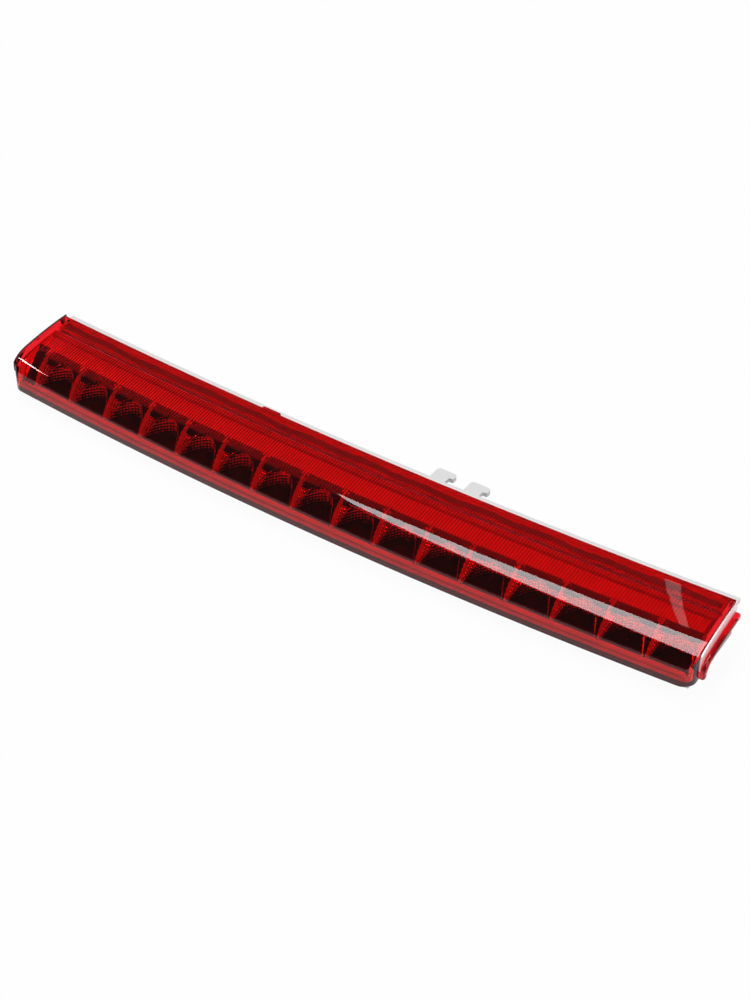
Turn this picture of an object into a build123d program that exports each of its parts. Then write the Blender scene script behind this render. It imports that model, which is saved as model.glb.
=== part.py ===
from build123d import *
import math
import os

# Third brake light: a curved lamp bar with a red lens, a row of parabolic reflector cells and a white
# housing with hooks. +X runs along the lamp, -Y is the nose that the light leaves through, +Y is the
# mounting side and +Z is up, with the lamp on its underside. The origin is the middle of the bounding
# box's underside. A "depth" is a distance back from the front of the nose, at the middle of the lamp.

# ---- Lens: overall form -------------------------------------------------------------------------
LENS_HALF_LENGTH = 186.2      # middle of the lamp to an end wall, at the nose
END_TAPER_DEG = 2.6           # the end walls lean together towards the back
LENS_DEPTH = 42.0             # nose to back edge
LENS_HEIGHT = 19.4            # underside of the skirt to the top of the back edge
NOSE_BEND_RADIUS = 2380.0     # bend of the nose along the lamp
BACK_BEND_RADIUS = 2940.0     # bend of the back edge along the lamp
FACE_RADIUS = 186.5           # broad face, level just behind the back edge and falling to the nose
NOSE_RADIUS = 14.0            # round between the broad face and the skirt
LENS_WALL = 2.5
CORNER_RADIUS = 4.0           # corner in plan between the skirt and an end wall
OVERRUN = 20.0                # how far bent sections run past the ends of the lens
NOSE_TRIM = 0.02              # shaved off the nose's round by the skirt

# ---- Lens: tongue, end bars and locating tab ----------------------------------------------------
TONGUE_WIDTH = 1.8
TONGUE_LENGTH = 3.4
END_BAR_DROP = 8.4            # broad face down to the bar's middle line
END_BAR_THICKNESS = 3.2
END_BAR_REACH = 2.8           # how far the bar stands out of the end wall
END_BAR_TAIL = 0.5            # straight end below the nose's round
END_BAR_CHAMFER = 0.8
TAB_X = -55.3
TAB_WIDTH = 10.4
TAB_REACH = 2.3
TAB_THICKNESS = 1.5

# ---- Housing: tray and back wall ----------------------------------------------------------------
SKIRT_CLEARANCE = 4.6         # underside of the housing up to the lens skirt
FLOOR_THICKNESS = 2.2
RIM_WALL = 1.4
RIM_HEIGHT = 1.2              # how far the rim stands up inside the skirt
GLUE_GAP = 0.6                # lens wall to rim
KEEL_CHAMFER = 2.2            # lower front edge
BACK_WALL = 2.4
FLOOR_RIB_WIDTH = 1.6
LUG_WIDTH = 6.0               # snap lugs that hold the board's back edge down
LUG_REACH = 1.4
LUG_HEIGHT = 2.2

# ---- Housing: glue channel, shelf and gussets ---------------------------------------------------
CHANNEL_SETBACK = 9.0         # lens back edge to the middle of the channel
CHANNEL_WIDTH = 4.0
CHANNEL_DEPTH = 4.2
CHANNEL_WALL = 1.5
SHELF_THICKNESS = 2.2
SHELF_REACH = 4.9             # how far the shelf stands out behind the lens
SHELF_GAP = 0.2               # underside of the lens to the shelf
FIT_GAP = 0.05                # around glued, pressed and screwed parts
GUSSET_THICKNESS = 1.6
GUSSET_DROP = 9.0
GUSSET_FIRST_X = 20.0         # clear of the plug socket
GUSSET_END_SETBACK = 18.2     # end wall to the last gusset
GUSSET_COUNT = 5              # on each side

# ---- Housing: hooks ------------------------------------------------------------------------------
HOOK_FIRST_X = 31.0           # left side of the first stem
HOOK_SPACING = 17.8
HOOK_COUNT = 2
HOOK_STEM = 8.0
HOOK_REACH = 7.5              # how far the tip stands out behind the shelf
HOOK_CATCH = 2.2              # sideways reach of the head past the stem
HOOK_HEAD = 3.9               # length of the head
HOOK_ROUND = 1.7
HOOK_CATCH_ROUND = 0.7

# ---- Housing: screw bosses and brass inserts ----------------------------------------------------
BOSS_END_SETBACK = 68.2       # end wall to the boss axis
BOSS_SETBACK = 2.4            # lens back edge forward to the boss axis
BOSS_RADIUS = 5.2
BOSS_WEB = 3.2
INSERT_RADIUS = 3.5
INSERT_LENGTH = 10.0
INSERT_BORE_RADIUS = 2.1      # tapping size of an M5 thread

# ---- Housing: plug socket and its pins ----------------------------------------------------------
SOCKET_WIDTH = 16.0
SOCKET_HEIGHT = 10.6
SOCKET_WALL = 1.6
SOCKET_LENGTH = 12.0          # from the back wall
SOCKET_FLOOR = 0.8            # extra thickness behind the pins
SOCKET_DROP = 6.1             # floor of the glue channel down to the socket's axis
SOCKET_ROUND = 2.0
LATCH_WIDTH = 2.4
LATCH_HEIGHT = 1.1
PIN_WIDTH = 1.5
PIN_THICKNESS = 0.64
PIN_SPACING = 5.0
PIN_REACH = 6.0               # free length inside the socket
PIN_SETBACK = 1.4             # back edge of the board to the pins' feet

# ---- Breather on the back wall ------------------------------------------------------------------
BREATHER_X = -72.0
BREATHER_DROP = 8.1           # floor of the glue channel down to the breather's axis
BREATHER_RADIUS = 6.0
BREATHER_RING = 1.4
BREATHER_PROUD = 2.4
BREATHER_HOLE_RADIUS = 2.0
MEMBRANE_SEAT = 0.6           # back wall to the membrane
MEMBRANE_THICKNESS = 0.3
CAP_THICKNESS = 1.2
CAP_SPIGOT_WALL = 0.9
CAP_SLOT = 1.6

# ---- Base gasket --------------------------------------------------------------------------------
GASKET_THICKNESS = 2.0
GASKET_WIDTH = 5.0
GASKET_INSET = 3.4            # outer face of the housing to the gasket

# ---- Board --------------------------------------------------------------------------------------
BOARD_THICKNESS = 1.6
BOARD_STANDOFF = 1.5          # housing floor to the board
BOARD_CLEARANCE = 0.4
SCREW_RADIUS = 1.1
SCREW_LENGTH = 6.0            # under the head
SCREW_HEAD_RADIUS = 2.0
SCREW_HEAD_HEIGHT = 1.2
SCREW_COUNT = 2
SCREW_BLOCK_WIDTH = 4.4       # block across the reflector's pocket that each screw goes into

# ---- Reflector ----------------------------------------------------------------------------------
CELL_COUNT = 16
ROW_MARGIN = 6.2              # room that the row of cells leaves at each end of the lens
CELL_OFFSET = 4.7             # middle of the lamp to the middle of the row of cells
DIVIDER_THICKNESS = 1.2
DISH_FACETS = 8               # flat facets round the half turn of a dish
DISH_RINGS = 3                # rings of facets from the vertex to the mouth
DISH_SPRING = 6.5             # upright wall below each dome
DISH_BACK_WALL = 1.5
MOUTH_SLOPE_DEG = 45.0
SILL_SETBACK = 0.8            # rim to the sill
SILL_WIDTH = 2.5
SILL_RISE = 0.6               # top of the sill above the board
DIVIDER_LAP = 0.8             # how far the dividers' feet stand on the sill
LAND_DROP = 1.6               # underside of the lens to the reflector's land
LAND_WALL = 1.6
RAIL_WIDTH = 1.6
PARTS_ROOM = 4.5              # room behind the dishes for the parts on the board
END_PLATE = 0.9
REFLECTOR_CLEARANCE = 0.3

# ---- Parts on the board -------------------------------------------------------------------------
LED_BODY = 3.0
LED_HEIGHT = 1.4
LED_RIM = 0.35                # wall round the light cup
LED_CUP_DEPTH = 0.5
LED_CUP_TAPER_DEG = 30.0
LED_CLEARANCE = 0.15
RESISTOR_COUNT = 8
RESISTOR_SIZE = (3.2, 1.6, 0.6)
RESISTOR_CAP = 0.5            # metal cap at each end
RESISTOR_CAP_WALL = 0.05
DIODE_SIZE = (4.3, 2.6, 2.1)
SUPPRESSOR_SIZE = (5.2, 2.8, 2.3)
CAPACITOR_SIZE = (3.5, 2.8, 1.9)
LEAD_REACH = 0.8
LEAD_THICKNESS = 0.2
MOULDING_CHAMFER = 0.35
DIODE_STEP = -2.0             # cells from the middle of the row
SUPPRESSOR_STEP = 2.0
CAPACITOR_STEP = -0.5

# ---- Heights above the surface the lamp stands on -----------------------------------------------
Z_UNDERSIDE = GASKET_THICKNESS
Z_FLOOR = Z_UNDERSIDE + FLOOR_THICKNESS
Z_BOARD = Z_FLOOR + BOARD_STANDOFF
Z_BOARD_TOP = Z_BOARD + BOARD_THICKNESS
Z_SKIRT = Z_UNDERSIDE + SKIRT_CLEARANCE
Z_RIM = Z_SKIRT + RIM_HEIGHT
Z_TOP = Z_SKIRT + LENS_HEIGHT
Z_SHELF = Z_TOP - LENS_WALL - SHELF_GAP
Z_SHELF_UNDER = Z_SHELF - SHELF_THICKNESS
Z_CHANNEL = Z_SHELF - CHANNEL_DEPTH
Z_SOCKET = Z_CHANNEL - SOCKET_DROP
Z_BREATHER = Z_CHANNEL - BREATHER_DROP

# ---- Depths and insets --------------------------------------------------------------------------
RIM_INSET = LENS_WALL + GLUE_GAP
INNER_INSET = RIM_INSET + RIM_WALL
CHANNEL_AT = LENS_DEPTH - CHANNEL_SETBACK
CHANNEL_HALF = CHANNEL_WIDTH / 2
CHANNEL_OUTER_HALF = CHANNEL_HALF + CHANNEL_WALL
WALL_FRONT = CHANNEL_AT - BACK_WALL / 2
WALL_BACK = CHANNEL_AT + BACK_WALL / 2
SHELF_BACK = LENS_DEPTH + SHELF_REACH
LEVEL_AT = LENS_DEPTH + SHELF_REACH / 2
SILL_FRONT = INNER_INSET + SILL_SETBACK
SILL_BACK = SILL_FRONT + SILL_WIDTH
BOARD_FRONT = SILL_BACK + BOARD_CLEARANCE
BOARD_BACK = WALL_FRONT - BOARD_CLEARANCE
MOUTH_FOOT = SILL_BACK - DIVIDER_LAP
REFLECTOR_BACK = CHANNEL_AT - CHANNEL_OUTER_HALF - REFLECTOR_CLEARANCE
POCKET_BACK = REFLECTOR_BACK - RAIL_WIDTH
POCKET_FRONT = POCKET_BACK - PARTS_ROOM
DISH_VERTEX = POCKET_FRONT - DISH_BACK_WALL
CELL_PITCH = 2 * (LENS_HALF_LENGTH - ROW_MARGIN) / CELL_COUNT
MOUTH_HALF = (CELL_PITCH - DIVIDER_THICKNESS) / 2
DISH_FOCUS = MOUTH_HALF**2 / (4 * (DISH_VERTEX - MOUTH_FOOT))
FIRST_FACET_SLOPE = MOUTH_HALF / DISH_RINGS / (4 * DISH_FOCUS)
LED_AT = DISH_VERTEX - (LED_BODY / 2 + LED_CLEARANCE) * FIRST_FACET_SLOPE - LED_BODY / 2 - FIT_GAP
PIN_AT = BOARD_BACK - PIN_SETBACK
SCREW_STEP = (CELL_COUNT - 1) / (SCREW_COUNT - 1)
SOCKET_BOTTOM = WALL_BACK + SOCKET_FLOOR
BOSS_X = LENS_HALF_LENGTH - BOSS_END_SETBACK
GUSSET_SPACING = (LENS_HALF_LENGTH - GUSSET_END_SETBACK - GUSSET_FIRST_X) / (GUSSET_COUNT - 1)

# ---- Place of the origin ------------------------------------------------------------------------
LAST_HOOK_X = HOOK_FIRST_X + (HOOK_COUNT - 1) * HOOK_SPACING
SHELF_BEND_RADIUS = BACK_BEND_RADIUS - SHELF_REACH
HOOK_SAG = SHELF_BEND_RADIUS - math.sqrt(SHELF_BEND_RADIUS**2 - LAST_HOOK_X**2)
NOSE_Y = -(SHELF_BACK + HOOK_REACH + HOOK_SAG) / 2
NOSE_AXIS = Axis((0, NOSE_Y + NOSE_BEND_RADIUS, 0), (0, 0, 1))
END_SLOPE = math.tan(math.radians(END_TAPER_DEG))

TALL = 4 * LENS_HEIGHT        # longer than any cut needs
ON_BASE = (Align.CENTER, Align.CENTER, Align.MIN)
UNDER_TOP = (Align.CENTER, Align.CENTER, Align.MAX)


# ---- Shared geometry ----------------------------------------------------------------------------
def nose_line(depth, x):
    """Y of a line that follows the nose's bend at a depth."""
    radius = NOSE_BEND_RADIUS - depth
    return NOSE_Y + NOSE_BEND_RADIUS - math.sqrt(radius**2 - x**2)


def back_line(depth, x):
    """Y of a line that follows the back edge's bend at a depth."""
    radius = BACK_BEND_RADIUS + LENS_DEPTH - depth
    return NOSE_Y + LENS_DEPTH + BACK_BEND_RADIUS - math.sqrt(radius**2 - x**2)


def end_x(depth, inset):
    """X of the right end wall at a depth, moved inwards by an inset."""
    return LENS_HALF_LENGTH - depth * END_SLOPE - inset


def plan(front, back, inset, front_line=nose_line, rear_line=back_line):
    """Outline in plan between two bent lines and the two end walls."""
    x_front = end_x(front, inset)
    x_back = end_x(back, inset)
    y_front = front_line(front, x_front)
    y_back = rear_line(back, x_back)
    front_arc = ThreePointArc((-x_front, y_front), (0, front_line(front, 0)), (x_front, y_front))
    back_arc = ThreePointArc((x_back, y_back), (0, rear_line(back, 0)), (-x_back, y_back))
    right_end = Line((x_front, y_front), (x_back, y_back))
    left_end = Line((-x_back, y_back), (-x_front, y_front))
    return make_face([front_arc, right_end, back_arc, left_end])


def back_strip(middle, half_width, inset):
    """Strip in plan that follows the back edge's bend."""
    return plan(middle - half_width, middle + half_width, inset, front_line=back_line)


def round_front(outline, radius):
    """The same outline with its two front corners rounded."""
    front = outline.vertices().sort_by(Axis.Y)[:2]
    return fillet(front, radius)


def slab(outline, low, high):
    """A plan outline made solid between two heights."""
    return extrude(Pos(0, 0, low) * outline, amount=high - low)


def bend(section):
    """A cross-section, drawn in YZ, turned along the nose's bend past both ends of the lamp."""
    reach = math.degrees(math.asin((LENS_HALF_LENGTH + OVERRUN) / NOSE_BEND_RADIUS))
    turned = revolve(section, axis=NOSE_AXIS, revolution_arc=2 * reach)
    return turned.rotate(NOSE_AXIS, -reach)


def along_nose(x, depth, height):
    """Place that follows and turns with the nose's bend."""
    angle = math.asin(x / NOSE_BEND_RADIUS)
    radius = NOSE_BEND_RADIUS - depth
    y = NOSE_Y + NOSE_BEND_RADIUS - radius * math.cos(angle)
    return Location((radius * math.sin(angle), y, height), (0, 0, math.degrees(angle)))


def along_back(x, depth, height):
    """Place that follows the back edge's bend, square to the lamp."""
    return Pos(x, back_line(depth, x), height)


def profile(offset, back_depth):
    """Broad face and nose as two arcs, with their two ends, set in from the surface by an offset."""
    across = LEVEL_AT - NOSE_RADIUS + NOSE_TRIM
    rise = math.sqrt((FACE_RADIUS - NOSE_RADIUS) ** 2 - across**2)
    face_y, face_z = NOSE_Y + LEVEL_AT, face_height(LEVEL_AT) - FACE_RADIUS
    nose_y, nose_z = face_y - across, face_z + rise
    start = math.acos((back_depth - LEVEL_AT) / (FACE_RADIUS - offset))
    join = math.pi / 2 + math.atan2(across, rise)

    def on_face(angle):
        radius = FACE_RADIUS - offset
        return (face_y + radius * math.cos(angle), face_z + radius * math.sin(angle))

    def on_nose(angle):
        radius = NOSE_RADIUS - offset
        return (nose_y + radius * math.cos(angle), nose_z + radius * math.sin(angle))

    back = on_face(start)
    foot = on_nose(math.pi)
    face_arc = ThreePointArc(back, on_face((join + start) / 2), on_face(join))
    nose_arc = ThreePointArc(on_nose(join), on_nose((join + math.pi) / 2), foot)
    return face_arc, nose_arc, back, foot


def face_height(depth):
    """Height of the broad face at a depth: Z_TOP at the back edge of the lens, level just behind it."""
    drop = math.sqrt(FACE_RADIUS**2 - (LEVEL_AT - LENS_DEPTH) ** 2)
    return Z_TOP - drop + math.sqrt(FACE_RADIUS**2 - (LEVEL_AT - depth) ** 2)


def under_section(offset):
    """Section of all the room under the broad face and behind the nose, set in by an offset."""
    face_arc, nose_arc, back, foot = profile(offset, LEVEL_AT)
    far_back = back[0] + OVERRUN
    low = Z_SKIRT - 2 * offset
    frame = Polyline(foot, (foot[0], low), (far_back, low), (far_back, back[1]), back)
    return make_face([face_arc, nose_arc, *frame.edges()])


def under_face(offset):
    """That room as a solid that follows the nose's bend."""
    return bend(Plane.YZ * under_section(offset))


# ---- Outer lens ---------------------------------------------------------------------------------
def end_bar():
    """Rounded bar on the right end wall, parallel to the broad face and nose."""
    face_arc, nose_arc, back, foot = profile(END_BAR_DROP, LENS_DEPTH)
    tip = (foot[0], foot[1] - END_BAR_TAIL)
    end_round = Circle(END_BAR_THICKNESS / 2)
    band = trace([face_arc, nose_arc, Line(foot, tip)], END_BAR_THICKNESS)
    band = band + Pos(*tip) * end_round + Pos(*back) * end_round
    bar = extrude(Plane.YZ * band, amount=END_BAR_REACH + LENS_WALL / 2)
    bar = chamfer(bar.faces().sort_by(Axis.X)[-1].edges(), END_BAR_CHAMFER)
    root = end_x(0, LENS_WALL / 2)
    return Pos(root, nose_line(0, root), 0) * Rot(0, 0, END_TAPER_DEG) * Pos(0, -NOSE_Y, 0) * bar


def make_outer_lens():
    """Red lens: broad face, nose, skirt and end walls in one shell, open below and behind."""
    outline = round_front(plan(0, LENS_DEPTH, 0), CORNER_RADIUS)
    room = round_front(plan(LENS_WALL, SHELF_BACK, LENS_WALL), CORNER_RADIUS - LENS_WALL)
    lens = under_face(0) & slab(outline, 0, TALL)
    lens -= under_face(LENS_WALL) & slab(room, 0, TALL)
    tongue = back_strip(CHANNEL_AT, TONGUE_WIDTH / 2, LENS_WALL / 2)
    tongue_root = face_height(CHANNEL_AT) - LENS_WALL / 2
    lens += slab(tongue, Z_TOP - LENS_WALL - TONGUE_LENGTH, tongue_root)
    tab = Box(TAB_WIDTH, TAB_REACH + LENS_WALL, TAB_THICKNESS, align=ON_BASE)
    lens += along_back(TAB_X, LENS_DEPTH + (TAB_REACH - LENS_WALL) / 2, Z_TOP - LENS_WALL) * tab
    bar = end_bar()
    return lens + bar + mirror(bar, about=Plane.YZ)


# ---- Glue beads ---------------------------------------------------------------------------------
def make_rear_seal_bead():
    """Glue in the housing's channel, round the tongue of the lens."""
    bead = slab(back_strip(CHANNEL_AT, CHANNEL_HALF, RIM_INSET), Z_CHANNEL, Z_SHELF)
    slot = back_strip(CHANNEL_AT, TONGUE_WIDTH / 2, 0)
    bead -= slab(slot, Z_TOP - LENS_WALL - TONGUE_LENGTH, Z_TOP)
    return bead & under_face(LENS_WALL + SHELF_GAP)


def make_rim_seal_bead():
    """Glue round the front and both ends, between the lens wall and the housing's rim."""
    outer_inset = LENS_WALL + FIT_GAP
    inner_inset = RIM_INSET - FIT_GAP
    outer = round_front(plan(outer_inset, WALL_BACK, outer_inset), CORNER_RADIUS - LENS_WALL)
    inner = round_front(plan(inner_inset, LENS_DEPTH, inner_inset), CORNER_RADIUS - LENS_WALL)
    return slab(outer, Z_SKIRT, Z_RIM) - slab(inner, 0, TALL)


# ---- Housing ------------------------------------------------------------------------------------
def tray():
    """Floor, rim and back wall, with the lower front edge cut away and ribs under the board."""
    outer = round_front(plan(RIM_INSET, WALL_BACK, RIM_INSET), CORNER_RADIUS - LENS_WALL)
    inner = plan(INNER_INSET, WALL_FRONT, INNER_INSET)
    keel_y = NOSE_Y + RIM_INSET
    spare = GASKET_THICKNESS / 2
    keel = Polyline(
        (keel_y - spare, Z_UNDERSIDE - spare),
        (keel_y + KEEL_CHAMFER + spare, Z_UNDERSIDE - spare),
        (keel_y - spare, Z_UNDERSIDE + KEEL_CHAMFER + spare),
        close=True,
    )
    body = slab(outer, Z_UNDERSIDE, Z_RIM) - bend(Plane.YZ * make_face(keel))
    body -= slab(inner, Z_FLOOR, TALL)
    body += slab(back_strip(CHANNEL_AT, BACK_WALL / 2, RIM_INSET), Z_FLOOR, Z_CHANNEL)
    rib_field = plan(SILL_BACK, WALL_FRONT + BACK_WALL / 2, INNER_INSET)
    for step in range(0, CELL_COUNT, 2):
        x = CELL_OFFSET + (step - CELL_COUNT / 2 + 1) * CELL_PITCH
        rib = Pos(x, 0, 0) * Box(FLOOR_RIB_WIDTH, 4 * LENS_DEPTH, TALL)
        body += slab(rib_field, Z_FLOOR - FLOOR_THICKNESS / 2, Z_BOARD) & rib
        body += along_back(x, WALL_FRONT, Z_BOARD_TOP) * snap_lug()
    return body


def snap_lug():
    """Wedge on the back wall that holds the board's back edge down."""
    wedge = Polyline((BACK_WALL / 2, 0), (-LUG_REACH, 0), (0, LUG_HEIGHT), (BACK_WALL / 2, LUG_HEIGHT), close=True)
    return extrude(Plane.YZ * make_face(wedge), amount=LUG_WIDTH / 2, both=True)


def gusset(x):
    """Triangular rib that carries the shelf from the back wall."""
    root_y = back_line(CHANNEL_AT, x)
    tip_y = back_line(SHELF_BACK - GUSSET_THICKNESS, x)
    top = Z_SHELF_UNDER + SHELF_THICKNESS / 2
    outline = Polyline(
        (root_y, top),
        (tip_y, top),
        (tip_y, Z_SHELF_UNDER - GUSSET_THICKNESS / 2),
        (root_y, Z_SHELF_UNDER - GUSSET_DROP),
        close=True,
    )
    return Pos(x, 0, 0) * extrude(Plane.YZ * make_face(outline), amount=GUSSET_THICKNESS / 2, both=True)


def shelf():
    """Channel and shelf under the back of the lens, with gussets below."""
    shelf_front = CHANNEL_AT - CHANNEL_OUTER_HALF
    inner = plan(shelf_front, LENS_DEPTH + SHELF_GAP, RIM_INSET, front_line=back_line)
    flange = plan(LENS_DEPTH + SHELF_GAP, SHELF_BACK, 0, front_line=back_line)
    body = slab(inner, Z_SHELF_UNDER, Z_SHELF) + slab(flange, Z_SHELF_UNDER, Z_SHELF)
    channel = back_strip(CHANNEL_AT, CHANNEL_OUTER_HALF, RIM_INSET)
    body += slab(channel, Z_CHANNEL - CHANNEL_WALL, Z_SHELF)
    for step in range(GUSSET_COUNT):
        x = GUSSET_FIRST_X + step * GUSSET_SPACING
        body += gusset(x)
        body += gusset(-x)
    return body


def hook():
    """Flat J-shaped catch: a stem with a rounded head that reaches sideways."""
    head_width = HOOK_STEM / 2 + HOOK_CATCH
    stem = Pos(HOOK_STEM / 2, HOOK_REACH / 2) * Rectangle(HOOK_STEM, HOOK_REACH)
    head = Pos((HOOK_STEM + head_width) / 2, HOOK_REACH - HOOK_HEAD / 2) * Rectangle(head_width, HOOK_HEAD)
    outline = fillet((stem + head).vertices().group_by(Axis.Y)[-1], HOOK_ROUND)
    outline = fillet(outline.vertices().group_by(Axis.X)[-1].sort_by(Axis.Y)[0], HOOK_CATCH_ROUND)
    root = Pos(HOOK_STEM / 2, -SHELF_REACH / 4) * Rectangle(HOOK_STEM, SHELF_REACH / 2)
    return extrude(outline + root, amount=-SHELF_THICKNESS)


def boss(side):
    """Post for a brass insert, tied to the back wall by a web."""
    height = Z_SHELF_UNDER - Z_UNDERSIDE + SHELF_THICKNESS / 2
    web_length = CHANNEL_SETBACK - BOSS_SETBACK
    post = Cylinder(BOSS_RADIUS, height, align=ON_BASE)
    web = Pos(0, -web_length / 2, 0) * Box(BOSS_WEB, web_length, height, align=ON_BASE)
    return along_back(side * BOSS_X, LENS_DEPTH - BOSS_SETBACK, Z_UNDERSIDE) * (post + web)


def insert_room(side):
    """Blind hole for a brass insert."""
    hole = Cylinder(INSERT_RADIUS, INSERT_LENGTH + FIT_GAP, align=ON_BASE)
    return along_back(side * BOSS_X, LENS_DEPTH - BOSS_SETBACK, Z_UNDERSIDE) * hole


def socket():
    """Plug socket on the back wall with a latch rib on top, opening backwards."""
    root = BACK_WALL / 2
    shroud = extrude(RectangleRounded(SOCKET_WIDTH, SOCKET_HEIGHT, SOCKET_ROUND), amount=SOCKET_LENGTH + root)
    rib = Box(LATCH_WIDTH, 2 * LATCH_HEIGHT, SOCKET_LENGTH / 2)
    shroud += Pos(0, -SOCKET_HEIGHT / 2, root + SOCKET_LENGTH / 2) * rib
    return along_back(0, CHANNEL_AT, Z_SOCKET) * Rot(-90, 0, 0) * shroud


def socket_room():
    """Hollow of the plug socket and the two slots for its pins."""
    hollow = RectangleRounded(
        SOCKET_WIDTH - 2 * SOCKET_WALL, SOCKET_HEIGHT - 2 * SOCKET_WALL, SOCKET_ROUND / 2
    )
    room = Pos(0, 0, BACK_WALL / 2 + SOCKET_FLOOR) * extrude(hollow, amount=SOCKET_LENGTH)
    for side in (-1, 1):
        room += Pos(side * PIN_SPACING / 2, 0, 0) * Box(PIN_WIDTH, PIN_THICKNESS, 3 * BACK_WALL)
    return along_back(0, CHANNEL_AT, Z_SOCKET) * Rot(-90, 0, 0) * room


def breather_place(setback):
    """Place on the back wall's outer face, looking backwards, moved out by a setback."""
    return along_back(BREATHER_X, WALL_BACK + setback, Z_BREATHER) * Rot(-90, 0, 0)


def make_housing():
    """White housing: tray, channel, shelf, hooks, bosses, plug socket and breather ring."""
    housing = (tray() + shelf()) & under_face(LENS_WALL + SHELF_GAP)
    for side in (-1, 1):
        housing += boss(side)
    housing -= slab(back_strip(CHANNEL_AT, CHANNEL_HALF, 0), Z_CHANNEL, TALL)
    for step in range(HOOK_COUNT):
        housing += along_back(HOOK_FIRST_X + step * HOOK_SPACING, SHELF_BACK, Z_SHELF) * hook()
    housing += socket()
    housing -= socket_room()
    root = BACK_WALL / 2
    housing += breather_place(-root) * extrude(Circle(BREATHER_RADIUS), amount=BREATHER_PROUD + root)
    bowl = extrude(Circle(BREATHER_RADIUS - BREATHER_RING), amount=BREATHER_PROUD)
    housing -= breather_place(MEMBRANE_SEAT) * bowl
    housing -= breather_place(0) * Cylinder(BREATHER_HOLE_RADIUS, 3 * BACK_WALL)
    for side in (-1, 1):
        housing -= insert_room(side)
    return housing


def make_base_gasket():
    """Foam ring under the housing."""
    near = RIM_INSET + GASKET_INSET
    far = near + GASKET_WIDTH
    outer = round_front(plan(near, WALL_BACK, near), CORNER_RADIUS)
    inner = plan(far, WALL_BACK - GASKET_WIDTH, far)
    return slab(outer, 0, GASKET_THICKNESS) - slab(inner, 0, GASKET_THICKNESS)


# ---- Board and the parts on it ------------------------------------------------------------------
def row_x(step):
    """X of a place so many cells from the middle of the row of cells."""
    return CELL_OFFSET + step * CELL_PITCH


def cell_x(cell):
    """X of the middle of a cell, counted from the left end of the row."""
    return row_x(cell - (CELL_COUNT - 1) / 2)


def parts_place(step):
    """Place on the board midway between the dishes and the back of the reflector."""
    x = row_x(step)
    y = (nose_line(POCKET_FRONT, x) + back_line(POCKET_BACK, x)) / 2
    return Pos(x, y, Z_BOARD_TOP)


def screw_places():
    """Places of the screws, so many cells apart, from the first cell to the last on the board's upper face."""
    return [parts_place(SCREW_STEP * (screw - (SCREW_COUNT - 1) / 2)) for screw in range(SCREW_COUNT)]


def make_led_board():
    """Black circuit board that lies flat under the dishes."""
    board = slab(plan(BOARD_FRONT, BOARD_BACK, INNER_INSET + BOARD_CLEARANCE), Z_BOARD, Z_BOARD_TOP)
    for place in screw_places():
        board -= place * Cylinder(SCREW_RADIUS + FIT_GAP, 3 * BOARD_THICKNESS)
    slot = Box(PIN_WIDTH, PIN_THICKNESS, 3 * BOARD_THICKNESS)
    for side in (-1, 1):
        board -= along_back(side * PIN_SPACING / 2, PIN_AT, Z_BOARD_TOP) * slot
    return board


def make_led(cell):
    """One light-emitting diode with its light cup upwards, under the focus of its dish."""
    body = Box(LED_BODY, LED_BODY, LED_HEIGHT, align=ON_BASE)
    mouth = Pos(0, 0, LED_HEIGHT) * Rectangle(LED_BODY - 2 * LED_RIM, LED_BODY - 2 * LED_RIM)
    body -= extrude(mouth, amount=-LED_CUP_DEPTH, taper=LED_CUP_TAPER_DEG)
    return along_nose(cell_x(cell), LED_AT, Z_BOARD_TOP) * body


def make_string_resistors():
    """Chip resistors with metal end caps, one for each pair of diodes."""
    length, width, height = RESISTOR_SIZE
    chips = []
    core = Box(length, width - 2 * RESISTOR_CAP_WALL, height - RESISTOR_CAP_WALL, align=ON_BASE)
    caps = Box(length, width, height, align=ON_BASE) - Box(length - 2 * RESISTOR_CAP, TALL, TALL)
    for chip in range(RESISTOR_COUNT):
        chips.append(parts_place(2 * chip - RESISTOR_COUNT + 1) * (core + caps))
    return Compound(children=chips)


def make_moulded_part(step, size):
    """Moulded part with a lead at each end, soldered flat to the board."""
    length, width, height = size
    body = Box(length, width, height, align=ON_BASE)
    body = chamfer(body.faces().sort_by(Axis.Z)[-1].edges(), MOULDING_CHAMFER)
    leads = Box(length + 2 * LEAD_REACH, width / 2, LEAD_THICKNESS, align=ON_BASE)
    return parts_place(step) * (body + leads)


# ---- Reflector ----------------------------------------------------------------------------------
def dish_ring(radius, depth):
    """Outline of a dish in front of its vertex: half a polygon on two upright walls that pass the board."""
    turns = [math.pi * facet / DISH_FACETS for facet in range(DISH_FACETS + 1)]
    low = -DISH_SPRING - BOARD_CLEARANCE
    arch = [(radius * math.cos(turn), -depth, radius * math.sin(turn)) for turn in turns]
    return [(radius, -depth, low), *arch, (-radius, -depth, low)]


def dish_hollow():
    """Room of one cell: half a faceted paraboloid on upright walls, vertex at the origin."""
    rings = []
    for ring in range(1, DISH_RINGS + 1):
        radius = MOUTH_HALF * ring / DISH_RINGS
        rings.append(dish_ring(radius, radius**2 / (4 * DISH_FOCUS)))
    rings.append(dish_ring(MOUTH_HALF, DISH_VERTEX - SILL_FRONT))
    vertex = (0, 0, 0)
    foot = (0, 0, rings[0][0][2])
    first = rings[0]
    sides = [[foot, first[0], first[1], vertex], [vertex, first[-2], first[-1], foot]]
    sides += [[vertex, first[i], first[i + 1]] for i in range(1, DISH_FACETS + 1)]
    for near, far in zip(rings, rings[1:]):
        sides += [[near[i], far[i], far[i + 1], near[i + 1]] for i in range(DISH_FACETS + 2)]
    left = [ring[-1] for ring in reversed(rings)]
    sides += [rings[-1], [foot, *[ring[0] for ring in rings], *left]]
    faces = [make_face(Polyline(*corners, close=True)) for corners in sides]
    return Pos(0, 0, DISH_SPRING) * Solid(Shell([part.face() for part in faces]))


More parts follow.
